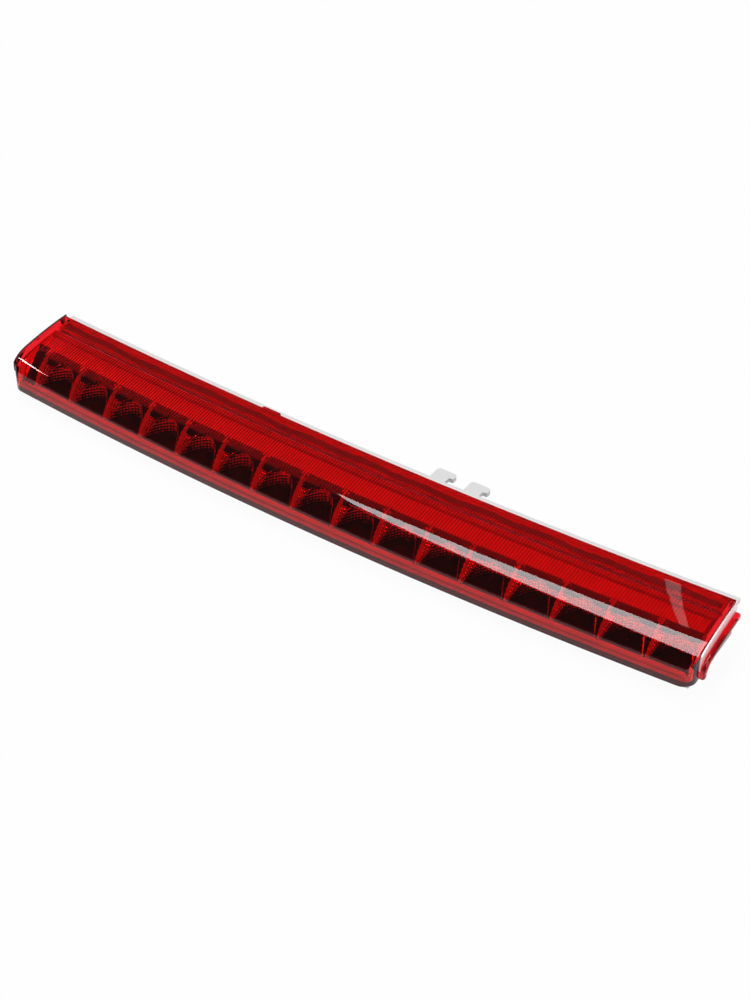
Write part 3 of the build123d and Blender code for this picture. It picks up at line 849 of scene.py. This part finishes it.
    def shell(self) -> bpy.types.Object:
        """Makes the closed shell.

        Returns:
            The shell.
        """
        stations = self.stations()
        outer = [self.outer_column(x) for x in stations]
        inner = [self.inner_column(x) for x in stations]
        count, out_rows, in_rows = len(stations), len(outer[0]), len(inner[0])
        points = [point for column in outer + inner for point in column]
        start = count * out_rows
        faces = grid_faces(count, out_rows) + grid_faces(count, in_rows, start)
        for column in range(count - 1):
            near, far = column * out_rows, (column + 1) * out_rows
            near_in, far_in = start + column * in_rows, start + (column + 1) * in_rows
            faces.append((near, far, far_in, near_in))
            last, last_in = out_rows - 1, in_rows - 1
            faces.append((near + last, far + last, far_in + last_in, near_in + last_in))
        for column in (0, count - 1):
            faces += self.end_wall(points, outer[column], inner[column], column, start)
        return add_object("lens_shell", points, faces, self.finish.material())

    def end_wall(
        self, points: list[Point], outer: list[Point], inner: list[Point], column: int, start: int
    ) -> Faces:
        """Closes the shell at one end.

        Args:
            points: All the shell's points; the end wall's lower back corners are added.
            outer: The end column outside.
            inner: The end column inside.
            column: Its index.
            start: Index of the first inner point.

        Returns:
            The end wall's faces.
        """
        first, first_in = column * len(outer), start + column * len(inner)
        outside = [first + row for row in range(len(outer))]
        inside = [first_in + row for row in range(len(inner))]
        foot, foot_in = len(points), len(points) + 1
        points.append((outer[0][0], outer[0][1], outer[-1][2]))
        points.append((inner[0][0], inner[0][1], inner[-1][2]))
        return [
            (*outside, foot),
            (*inside, foot_in),
            (outside[0], foot, foot_in, inside[0]),
            (outside[-1], foot, foot_in, inside[-1]),
        ]

    def bar_path(self) -> list[Point]:
        """Middle line of an end bar, from the back to its foot.

        Returns:
            Depth, height and direction of its points.
        """
        form = self.form
        behind = form.level_at
        radius = form.face_radius - self.bar_drop
        first = math.asin((behind - form.depth + self.bar_width / 2) / radius)
        path = []
        for turn in spread(first, form.join, 16):
            path.append((behind - radius * math.sin(turn), form.face_centre + radius * math.cos(turn), turn))
        depth, height = form.nose_centre
        radius = form.nose_radius - self.bar_drop
        for turn in spread(form.join, math.pi / 2, 12)[1:]:
            path.append((depth - radius * math.sin(turn), height + radius * math.cos(turn), turn))
        path.append((path[-1][0], path[-1][1] - self.bar_tail, math.pi / 2))
        return path

    def bar_section(self) -> list[tuple[float, float]]:
        """Points round a bar.

        Returns:
            How far each is across the bar, and how far out from the end wall.
        """
        half, round_ = self.bar_width / 2, self.bar_round
        flat = half - round_
        section = [(-half, self.joint), (-half, self.bar_reach - round_)]
        section += [
            (-flat - round_ * math.cos(turn), self.bar_reach - round_ + round_ * math.sin(turn))
            for turn in spread(0, math.pi / 2, 6)[1:]
        ]
        return section + [(-across, out) for across, out in reversed(section)]

    def end_bar(self, side: int) -> bpy.types.Object:
        """Makes the rounded bar on one end wall.

        Args:
            side: 1 for the right end and -1 for the left.

        Returns:
            The bar.
        """
        section = self.bar_section()
        path = self.bar_path()
        shrink = [math.sin(turn) for turn in self.bar_end_turns]
        steps = len(shrink)
        ends = [(-1, path[0])] * steps + [(0, spot) for spot in path] + [(1, path[-1])] * steps
        sizes = [*shrink, *[1.0] * len(path), *reversed(shrink)]
        sections = []
        for (past, (depth, height, turn)), size in zip(ends, sizes):
            beyond = past * self.bar_width / 2 * math.sqrt(max(0.0, 1 - size**2))
            share = self.bar_end_share + (1 - self.bar_end_share) * size
            corners = []
            for across, out in section:
                deep = depth - beyond * math.cos(turn) - across * size * math.sin(turn)
                high = height - beyond * math.sin(turn) + across * size * math.cos(turn)
                reach = self.joint + (out - self.joint) * share
                corners.append(self.form.beside_end(side, deep, high, reach))
            sections.append(corners)
        name = "end_bar_right" if side > 0 else "end_bar_left"
        return add_tube(name, sections, self.bar_finish.material())

    def tab(self) -> bpy.types.Object:
        """Makes the rounded locating tab behind the back edge.

        Returns:
            The tab.
        """
        form = self.form
        half, reach, round_ = self.tab_width / 2, self.tab_reach, self.tab_round
        outline = [(-half, self.joint), (half, self.joint)]
        for turn in spread(0, math.pi / 2, 5):
            outline.append((half - round_ * (1 - math.cos(turn)), reach - round_ * (1 - math.sin(turn))))
        outline += [(-x, behind) for x, behind in reversed(outline[2:])]
        low = form.top - form.wall
        places = [(self.tab_x + across, behind) for across, behind in outline]
        sections = [
            [(x, form.back_y(behind, x), height) for x, behind in places]
            for height in (low, low + self.tab_thickness)
        ]
        return add_tube("locating_tab", sections, self.bar_finish.material())

    def build(self) -> list[bpy.types.Object]:
        """Makes the lens with its bars and tab.

        Returns:
            The pieces, which together stand for the plain solid.
        """
        pieces = [self.shell(), self.end_bar(1), self.end_bar(-1), self.tab()]
        for piece in pieces:
            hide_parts("outer_lens")
        return pieces


# ---- Dish linings ----


@dataclass
class DishLinings:
    """Bright linings of the cells: half paraboloids on upright walls, and pillowed aprons beside them."""

    form: LampForm
    finish: Metal
    vertex: float = 21.6
    mouth_foot: float = 7.0
    focus: float = 1.94
    spring: float = 6.5
    clear: float = 0.5
    thickness: float = 0.25
    pillow: float = 1.55
    pillow_rise: float = 0.32
    arch_pillows: int = 12
    wall_pillows: int = 4
    steps: int = 4
    across_steps: int = 34
    pillow_top: float = 8.6
    apron_foot: float = 0.25
    apron_top: float = 8.4
    apron_gap: float = 0.1
    apron_lift: float = 0.08
    apron_rows: int = 34
    apron_columns: int = 16
    innermost: float = 0.25
    top_fade: float = 0.8
    apron_fade: float = 0.6
    lowest: float = 0.02
    smooth_deg: float = 40.0

    def columns(self) -> list[Point]:
        """Columns of points round a cell, up one wall, over the arch and down the other wall.

        Returns:
            Height up the wall, angle over the arch and place in pillows of each column.
        """
        wall_steps = self.wall_pillows * self.steps
        arch_steps = self.arch_pillows * self.steps
        columns = []
        for step in range(wall_steps):
            columns.append((self.spring * step / wall_steps, 0.0, step / self.steps))
        for step in range(arch_steps + 1):
            columns.append((self.spring, math.pi * step / arch_steps, self.wall_pillows + step / self.steps))
        start = self.wall_pillows + self.arch_pillows
        for step in range(1, wall_steps + 1):
            columns.append((self.spring * (1 - step / wall_steps), math.pi, start + step / self.steps))
        return columns

    def mouth_radius(self, rise: float, turn: float) -> float:
        """Radius at which a column meets the sloping mouth.

        Args:
            rise: The column's height up the wall.
            turn: Its angle over the arch.

        Returns:
            The radius.
        """
        room = self.vertex - self.mouth_foot - rise
        across = 2 * self.focus * math.sin(turn)
        return math.sqrt(across**2 + 4 * self.focus * room) - across

    def arc_length(self, radius: float) -> float:
        """Length of the parabola from its vertex to a radius."""
        share = radius / (2 * self.focus)
        return self.focus * (share * math.sqrt(1 + share**2) + math.asinh(share))

    def pillow_height(self, along: float, around: float) -> float:
        """Height of the pillow at a place given in pillows."""
        first, second = along % 1.0, around % 1.0
        return self.pillow_rise * (1 - (2 * first - 1) ** 2) * (1 - (2 * second - 1) ** 2)

    def local(self, radius: float, rise: float, turn: float, lift: float) -> Point:
        """One point in a cell's own frame.

        Args:
            radius: Distance from the dish's axis.
            rise: Height up the wall.
            turn: Angle over the arch.
            lift: Distance from the dish's surface into the cell.

        Returns:
            Distances across, in front of the vertex, and above the board.
        """
        slope = radius / (2 * self.focus)
        tilt = math.sqrt(1 + slope**2)
        reach = radius - lift * slope / tilt
        front = radius**2 / (4 * self.focus) + lift / tilt
        return (reach * math.cos(turn), front, rise + reach * math.sin(turn))

    def skins(self) -> tuple[Grid, Grid]:
        """Skins of a lining in the cell's own frame.

        Returns:
            Front and back skin, column by column.
        """
        fronts, backs = [], []
        for rise, turn, around in self.columns():
            rim = self.mouth_radius(rise, turn)
            front, back = [], []
            for radius in spread(self.innermost, rim, self.across_steps):
                along = self.arc_length(radius) / self.pillow
                above = rise + radius * math.sin(turn)
                fade = min(1.0, max(0.0, (self.pillow_top - above) / self.top_fade))
                lift = self.clear + self.pillow_height(along, around) * fade
                front.append(self.local(radius, rise, turn, lift))
                back.append(self.local(radius, rise, turn, self.clear - self.thickness))
            fronts.append(front)
            backs.append(back)
        return fronts, backs

    def half_width(self, above: float) -> float:
        """Half the width of a dish's mouth.

        Args:
            above: Height above the board.

        Returns:
            Half the width there.
        """
        past = max(0.0, above - self.spring)
        room = self.vertex - self.mouth_foot - above
        return math.sqrt(max(4 * self.focus * room - past**2, 0.0))

    def on_mouth(self, across: float, above: float, lift: float) -> Point:
        """A point on the sloping mouth in a cell's own frame, lifted off it."""
        step = lift / math.sqrt(2)
        return (across, self.vertex - self.mouth_foot - above + step, above + step)

    def apron_skins(self) -> tuple[Grid, Grid]:
        """Skins of the pillowed apron between a divider and its dish.

        Returns:
            Front and back skin, row by row.
        """
        edge = -self.form.cell_pitch / 2
        fronts, backs = [], []
        for above in spread(self.apron_foot, self.apron_top, self.apron_rows):
            fade = min(1.0, (self.apron_top - above) / self.apron_fade)
            front, back = [], []
            for across in spread(edge, -self.half_width(above) - self.apron_gap, self.apron_columns):
                height = self.pillow_height(above * math.sqrt(2) / self.pillow, across / self.pillow)
                front.append(self.on_mouth(across, above, self.apron_lift + height * fade))
                back.append(self.on_mouth(across, above, 0.0))
            fronts.append(front)
            backs.append(back)
        return fronts, backs

    def placed(self, cell: int, point: Point) -> Point:
        """Puts a point of a cell's own frame into the lamp's.

        Args:
            cell: The cell, counted from the left end.
            point: Distances across, in front of the vertex, and above the board.

        Returns:
            The point in the lamp's frame.
        """
        form = self.form
        turn = math.asin(form.cell_x(cell) / form.nose_bend)
        radius = form.nose_bend - self.vertex
        across, front, above = point
        x = radius * math.sin(turn) + across * math.cos(turn) + front * math.sin(turn)
        y = form.nose_y + form.nose_bend - radius * math.cos(turn)
        y += across * math.sin(turn) - front * math.cos(turn)
        return (x, y, form.board_top + max(above, self.lowest))

    def build(self) -> list[bpy.types.Object]:
        """Makes one lining and one apron for each cell.

        Returns:
            The linings and then the aprons.
        """
        material = self.finish.material()
        pieces = []
        for kind, (fronts, backs) in (("dish_lining", self.skins()), ("dish_apron", self.apron_skins())):
            faces = sheet_faces(len(fronts), len(fronts[0]))
            skin = [point for column in fronts + backs for point in column]
            for cell in range(self.form.cells):
                points = [self.placed(cell, point) for point in skin]
                name = f"{kind}_{cell + 1:02d}"
                pieces.append(add_object(name, points, faces, material, self.smooth_deg))
        return pieces


@dataclass
class DividerFins:
    """Thin bright fins on the dividers between the cells, notched along their front edge."""

    form: LampForm
    finish: Moulding
    foot_depth: float = 7.0
    foot_height: float = 0.5
    length: float = 13.0
    reach: float = 2.3
    thickness: float = 0.9
    head: float = 2.6
    head_start: float = 0.72
    notch: float = 0.45
    notch_pitch: float = 1.7
    swell: float = 0.8
    end_past: float = 1.02
    ragged: float = 0.35
    root: float = 0.5
    crest: float = 0.35
    steps: int = 80

    def front(self, share: float) -> tuple[float, float]:
        """A point of the front edge.

        Args:
            share: 0 at the foot and 1 at the land.

        Returns:
            Its depth and its height above the board.
        """
        along = self.length * share
        stand = self.reach * math.sin(math.pi * min(1.0, share * self.end_past)) ** self.swell
        stand += self.notch * abs(math.sin(math.pi * along / self.notch_pitch))
        step = stand / math.sqrt(2)
        return self.foot_depth + along - step, self.foot_height + along + step

    def fin(self, divider: int) -> bpy.types.Object:
        """Makes the fin on one divider.

        Args:
            divider: The divider, counted from the left end.

        Returns:
            The fin.
        """
        form = self.form
        middle = form.cell_x(divider) - form.cell_pitch / 2
        sections = []
        for share in spread(0.0, 1.0, self.steps):
            along = self.length * share
            depth, above = self.front(share)
            wider = max(0.0, share - self.head_start) / (1 - self.head_start)
            wave = 1 + self.ragged * math.sin(2 * math.pi * self.length * share / self.notch_pitch + divider)
            half = (self.thickness + self.head * wider) / 2 * wave
            right = [
                (self.foot_depth + along + self.root, self.foot_height + along - self.root, half),
                (depth + self.root, above - self.root, half),
                (depth, above, half * self.crest),
            ]
            both = right + [(deep, high, -width) for deep, high, width in reversed(right)]
            spots = [(middle + width, deep, high) for deep, high, width in both]
            sections.append([(x, form.y(deep, x), form.board_top + high) for x, deep, high in spots])
        return add_tube(f"divider_fin_{divider + 1:02d}", sections, self.finish.material())

    def build(self) -> list[bpy.types.Object]:
        """Makes one fin at the left of each cell."""
        return [self.fin(divider) for divider in range(self.form.cells)]


@dataclass
class EndShadeWedge:
    """Ribbed wedge that fills the row from its first divider to the left end wall, near-black as painted
    shade.
    """

    form: LampForm
    finish: Moulding
    near_end: float = 176.0
    far_end: float = 182.6
    foot_depth: float = 6.6
    foot_height: float = 0.3
    length: float = 13.4
    rib: float = 0.5
    rib_pitch: float = 2.2
    back_drop: float = 0.4
    columns: int = 37

    def build(self) -> list[bpy.types.Object]:
        """Makes the wedge.

        Returns:
            The wedge alone.
        """
        form = self.form
        back, top = self.foot_depth + self.length, self.foot_height + self.length
        sections = []
        for x in spread(-self.far_end, -self.near_end, self.columns):
            step = self.rib * abs(math.sin(math.pi * (x + self.near_end) / self.rib_pitch)) / math.sqrt(2)
            corners = (
                (self.foot_depth - step, self.foot_height + step),
                (back - step, top + step),
                (back, top - self.back_drop),
                (back, self.foot_height),
            )
            sections.append([(x, form.y(deep, x), form.board_top + high) for deep, high in corners])
        return [add_tube("row_end_painted_shade", sections, self.finish.material())]


# ---- Seals and end-wall strips ----


@dataclass
class SealStrip:
    """Brown butyl strip pressed flat between the lens and the shelf, with wavy edges."""

    form: LampForm
    finish: Moulding
    setback: float = 4.6
    half_width: float = 1.7
    gap: float = 0.04
    thickness: float = 0.1
    wave: float = 0.7
    wave_length: float = 31.0
    slower: float = 2.7
    quicker: float = 0.23
    slow_share: float = 0.6
    ripple: float = 0.2
    front_phase: float = 0.4
    back_phase: float = 0.9
    rows: int = 5
    step: float = 1.2
    end_room: float = 4.2

    def edge(self, x: float, phase: float) -> float:
        """How far an edge of the strip wanders.

        Args:
            x: Place along the lamp.
            phase: Start of its waves, different for each edge.

        Returns:
            The distance there.
        """
        turns = 2 * math.pi * x / self.wave_length
        slow = math.sin(turns + phase)
        slower = math.sin(turns / self.slower + 2 * phase)
        quick = math.sin(turns / self.quicker + 3 * phase)
        return self.wave * (self.slow_share * slow + (1 - self.slow_share) * slower) + self.ripple * quick

    def section(self, x: float) -> list[Point]:
        """Points round the strip.

        Args:
            x: Place along the lamp.

        Returns:
            The points of its upper side and then of its lower side.
        """
        form = self.form
        front = -self.setback - self.half_width + self.edge(x, self.front_phase)
        back = -self.setback + self.half_width + self.edge(x, self.back_phase)
        upper, lower = [], []
        for behind in spread(front, back, self.rows):
            height = form.face_height(form.back_depth(behind, x), form.wall + self.gap)
            y = form.back_y(behind, x)
            upper.append((x, y, height))
            lower.append((x, y, height - self.thickness))
        return upper + lower[::-1]

    def build(self) -> list[bpy.types.Object]:
        """Makes the strip.

        Returns:
            The strip alone.
        """
        reach = self.form.end_x(self.form.depth - self.setback, self.end_room)
        sections = [self.section(x) for x in spread(-reach, reach, int(2 * reach / self.step))]
        return [add_tube("butyl_strip", sections, self.finish.material())]


@dataclass
class EndWallStrip:
    """Thin strip on one end wall, along the broad face's edge and round the nose; on the right end its pale
    pink finish is a painted reflection of the floor in the end wall.
    """

    form: LampForm
    side: int
    finish: Metal | Moulding
    near: float = 0.8
    far: float = 6.4
    front: float = 6.5
    thickness: float = 0.5
    joint: float = 0.03
    back_room: float = 0.6
    face_rows: int = 14
    nose_rows: int = 12
    nose_rest: int = 3

    def side_points(self, offset: float) -> list[tuple[float, float]]:
        """Points along the trim, which stops short of the nose's foot.

        Args:
            offset: How far they are inside the broad face and nose.

        Returns:
            Their depths and heights.
        """
        form = self.form
        path = []
        for depth in spread(form.depth - self.back_room, form.join_depth(offset), self.face_rows):
            path.append((depth, form.face_height(depth, offset)))
        path += form.nose_arc(offset, self.nose_rows)[1 : -self.nose_rest]
        return [(max(depth, self.front), height) for depth, height in path]

    def build(self) -> list[bpy.types.Object]:
        """Makes the strip, on the right end wall if the side is 1 and on the left if it is -1.

        Returns:
            The strip alone.
        """
        near, far = self.side_points(self.near), self.side_points(self.far)
        sections = []
        for outer, inner in zip(near, far):
            corners = (
                (*outer, self.joint),
                (*outer, self.thickness),
                (*inner, self.thickness),
                (*inner, self.joint),
            )
            sections.append([self.form.beside_end(self.side, *corner) for corner in corners])
        name = "end_reflection_strip_right" if self.side > 0 else "end_trim_left"
        return [add_tube(name, sections, self.finish.material())]


# ---- Studio ----


def add_stage(name: str, corners: Sequence[Point], material: bpy.types.Material) -> bpy.types.Object:
    """Makes one flat piece of the studio.

    Args:
        name: Its name.
        corners: Its four corners, in millimetres.
        material: Its material.

    Returns:
        The piece, which isn't part of the lamp.
    """
    mesh = bpy.data.meshes.new(name)
    mesh.from_pydata([tuple(part * MM for part in corner) for corner in corners], [], [(0, 1, 2, 3)])
    mesh.materials.append(material)
    piece = bpy.data.objects.new(name, mesh)
    bpy.context.scene.collection.objects.link(piece)
    return piece


@dataclass(frozen=True)
class Softbox:
    """One flat light above the lamp, between two edges that run along x.

    The near edge and the far edge are each given by their middle, as x and y, and by their width.
    """

    name: str
    near: tuple[float, float]
    near_width: float
    far: tuple[float, float]
    far_width: float
    strength: float
    height: float = 4000.0

    def build(self) -> None:
        """Makes the light, which the camera doesn't see."""
        (near_x, near_y), (far_x, far_y) = self.near, self.far
        corners = (
            (near_x - self.near_width / 2, near_y, self.height),
            (near_x + self.near_width / 2, near_y, self.height),
            (far_x + self.far_width / 2, far_y, self.height),
            (far_x - self.far_width / 2, far_y, self.height),
        )
        material = bpy.data.materials.new(self.name)
        tree = ShaderTree(material)
        glow = tree.node("ShaderNodeEmission", {}, {"Strength": self.strength})
        tree.node("ShaderNodeOutputMaterial", {}, {"Surface": glow})
        add_stage(self.name, corners, material).visible_camera = False


@dataclass(frozen=True)
class Studio:
    """Camera, white surroundings, floor and soft light.

    The grey canopy keeps the sky above the lamp dim for every kind of ray.
    """

    azimuth_deg: float = 34.4
    elevation_deg: float = 39.64
    distance: float = 961.5
    target: Point = (22.1, -11.0, 26.0)
    lens: float = 78.2
    ambient: float = 0.5
    floor_glow: float = 0.95
    floor_size: float = 6000.0
    floor_colour: Colour = (0.85, 0.85, 0.85)
    sight: float = 50.0
    softboxes: tuple[Softbox, ...] = (
        Softbox("overhead_softbox", (-1200.0, 1800.0), 2000.0, (-400.0, -2100.0), 400.0, 8.4),
        Softbox("strip_light", (-1120.0, 2100.0), 30.0, (-1540.0, 3600.0), 55.0, 1.5),
        Softbox("end_light", (-3900.0, -1700.0), 75.0, (-4320.0, -2880.0), 75.0, 24.0),
        Softbox("side_softbox", (3500.0, -200.0), 3500.0, (3500.0, -3800.0), 3500.0, 4.0),
        Softbox("grey_canopy", (0.0, 30000.0), 60000.0, (0.0, -30000.0), 60000.0, 0.08, 4200.0),
    )

    def camera(self) -> None:
        """Makes the camera."""
        turn, lift = math.radians(self.azimuth_deg), math.radians(self.elevation_deg)
        away = Vector((math.sin(turn) * math.cos(lift), -math.cos(turn) * math.cos(lift), math.sin(lift)))
        data = bpy.data.cameras.new("camera")
        data.lens = self.lens
        data.clip_end = self.sight
        camera = bpy.data.objects.new("camera", data)
        camera.location = (Vector(self.target) + away * self.distance) * MM
        camera.rotation_euler = away.to_track_quat("Z", "Y").to_euler()
        bpy.context.scene.collection.objects.link(camera)
        bpy.context.scene.camera = camera

    def world(self) -> None:
        """Makes the surroundings: white to the eye, to metal and to glass, softer as a light."""
        world = bpy.data.worlds.new("surroundings")
        bpy.context.scene.world = world
        tree = ShaderTree(world)
        shown = tree.sees_background()
        strength = shown + (1 - shown) * self.ambient
        shade = tree.node("ShaderNodeBackground", {}, {"Color": (1.0, 1.0, 1.0, 1.0), "Strength": strength})
        tree.node("ShaderNodeOutputWorld", {}, {"Surface": shade})

    def floor(self) -> None:
        """Makes the pale floor that the lamp stands on, which keeps some of the lamp's shadow."""
        half = self.floor_size / 2
        corners = ((-half, -half, 0.0), (half, -half, 0.0), (half, half, 0.0), (-half, half, 0.0))
        material = bpy.data.materials.new("floor_white")
        tree = ShaderTree(material)
        white = tree.sees_background() * self.floor_glow
        matt = tree.node("ShaderNodeBsdfDiffuse", {}, {"Color": (*self.floor_colour, 1.0)})
        glow = tree.node("ShaderNodeEmission", {}, {"Color": (1.0, 1.0, 1.0, 1.0), "Strength": 1.0})
        mixed = tree.node("ShaderNodeMixShader", {}, {0: white, 1: matt, 2: glow})
        tree.node("ShaderNodeOutputMaterial", {}, {"Surface": mixed})
        add_stage("floor", corners, material)

    def build(self) -> None:
        """Makes everything that isn't the lamp."""
        bpy.context.scene.view_settings.view_transform = "Standard"
        self.camera()
        self.world()
        self.floor()
        for softbox in self.softboxes:
            softbox.build()


# ---- Putting it together ----

RED = ClearPlastic("red_acrylic", (0.93, 0.012, 0.022))
BAR_RED = ClearPlastic("red_acrylic_bar", (0.88, 0.012, 0.03))

BUTYL = Moulding("brown_butyl", (0.36, 0.16, 0.13), 0.35)
# The right end strip's pale pink metal is a painted reflection: it stands for the end wall mirroring the
# floor.
END_REFLECTION_STRIP = Metal("painted_end_reflection", (0.98, 0.86, 0.86), 0.45)
DARK_TRIM = Moulding("dark_end_sealant", (0.02, 0.005, 0.005), 0.5)
FIN = Moulding("satin_divider", (0.9, 0.9, 0.9), 0.4)
# The row end's near-black colour is painted shade, not a dark part.
END_SHADE = Moulding("painted_shade_row_end", (0.02, 0.015, 0.015), 0.5)
LINING = Metal("bright_metallising", (0.92, 0.92, 0.92), 0.16)

NODE_FINISHES = {
    "housing": Moulding("white_plastic", (0.8, 0.8, 0.8), 0.4),
    "rear_seal_bead": Moulding("pale_sealant", (0.78, 0.75, 0.72), 0.35),
    "rim_seal_bead": Moulding("rim_sealant", (0.05, 0.02, 0.02), 0.5),
    "base_gasket": Moulding("foam_rubber", (0.05, 0.05, 0.055), 0.9, Texture.CELLS, grain=0.8),
    "reflector": ReflectorBody("satin_reflector", (0.9, 0.9, 0.9), (0.02, 0.02, 0.02)),
    "led_board": SolderMask("black_solder_mask", (0.012, 0.012, 0.014), (0.12, 0.12, 0.12)),
    "board_screws": Metal("zinc_plate", (0.62, 0.62, 0.64)),
    "string_resistors": Moulding("resistor_glaze", (0.03, 0.03, 0.03), 0.3),
    "reverse_polarity_diode": Moulding("black_epoxy", (0.03, 0.03, 0.032), 0.5),
    "surge_suppressor": Moulding("black_epoxy_large", (0.03, 0.03, 0.032), 0.5),
    "filter_capacitor": Moulding("tantalum_yellow", (0.75, 0.5, 0.12), 0.45),
    "terminal_pin_left": Metal("tin_plate", (0.75, 0.75, 0.73), 0.35),
    "terminal_pin_right": Metal("tin_plate_right", (0.75, 0.75, 0.73), 0.35),
    "threaded_insert_left": Metal("turned_brass", (0.78, 0.6, 0.28), 0.3, Texture.TURNED),
    "threaded_insert_right": Metal("turned_brass_right", (0.78, 0.6, 0.28), 0.3, Texture.TURNED),
    "breather_membrane": Moulding("white_membrane", (0.9, 0.9, 0.9), 0.7),
    "breather_cap": Moulding("black_cap", (0.04, 0.04, 0.04), 0.45),
}


def dress_nodes() -> None:
    """Gives every solid that stays visible its finish."""
    led = Moulding("led_smoked", (0.03, 0.02, 0.02), 0.3, coat=0.4).material()
    for name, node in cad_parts.items():
        if name in NODE_FINISHES:
            material = NODE_FINISHES[name].material()
        elif name.startswith("led_"):
            material = led
        else:
            continue
        node.data.materials.clear()
        node.data.materials.append(material)
        LOG.info("finish given to %s", name)


def main() -> None:
    """Builds the studio, the lamp's visible pieces and their finishes."""
    logging.basicConfig(level=logging.INFO, format="%(message)s")
    form = LampForm()
    Studio().build()
    dress_nodes()
    assemblies = (
        OuterLens(form, RED, BAR_RED),
        DishLinings(form, LINING),
        DividerFins(form, FIN),
        # Painted shade at the row's left end.
        EndShadeWedge(form, END_SHADE),
        SealStrip(form, BUTYL),
        # Right end: strip whose pale finish is a painted reflection.
        EndWallStrip(form, 1, END_REFLECTION_STRIP),
        EndWallStrip(form, -1, DARK_TRIM, near=0.0, far=1.6, front=3.6, thickness=0.75),
    )
    for assembly in assemblies:
        for piece in assembly.build():
            LOG.info("%s: %d faces", piece.name, len(piece.data.polygons))


if __name__ == "__main__":
    main()
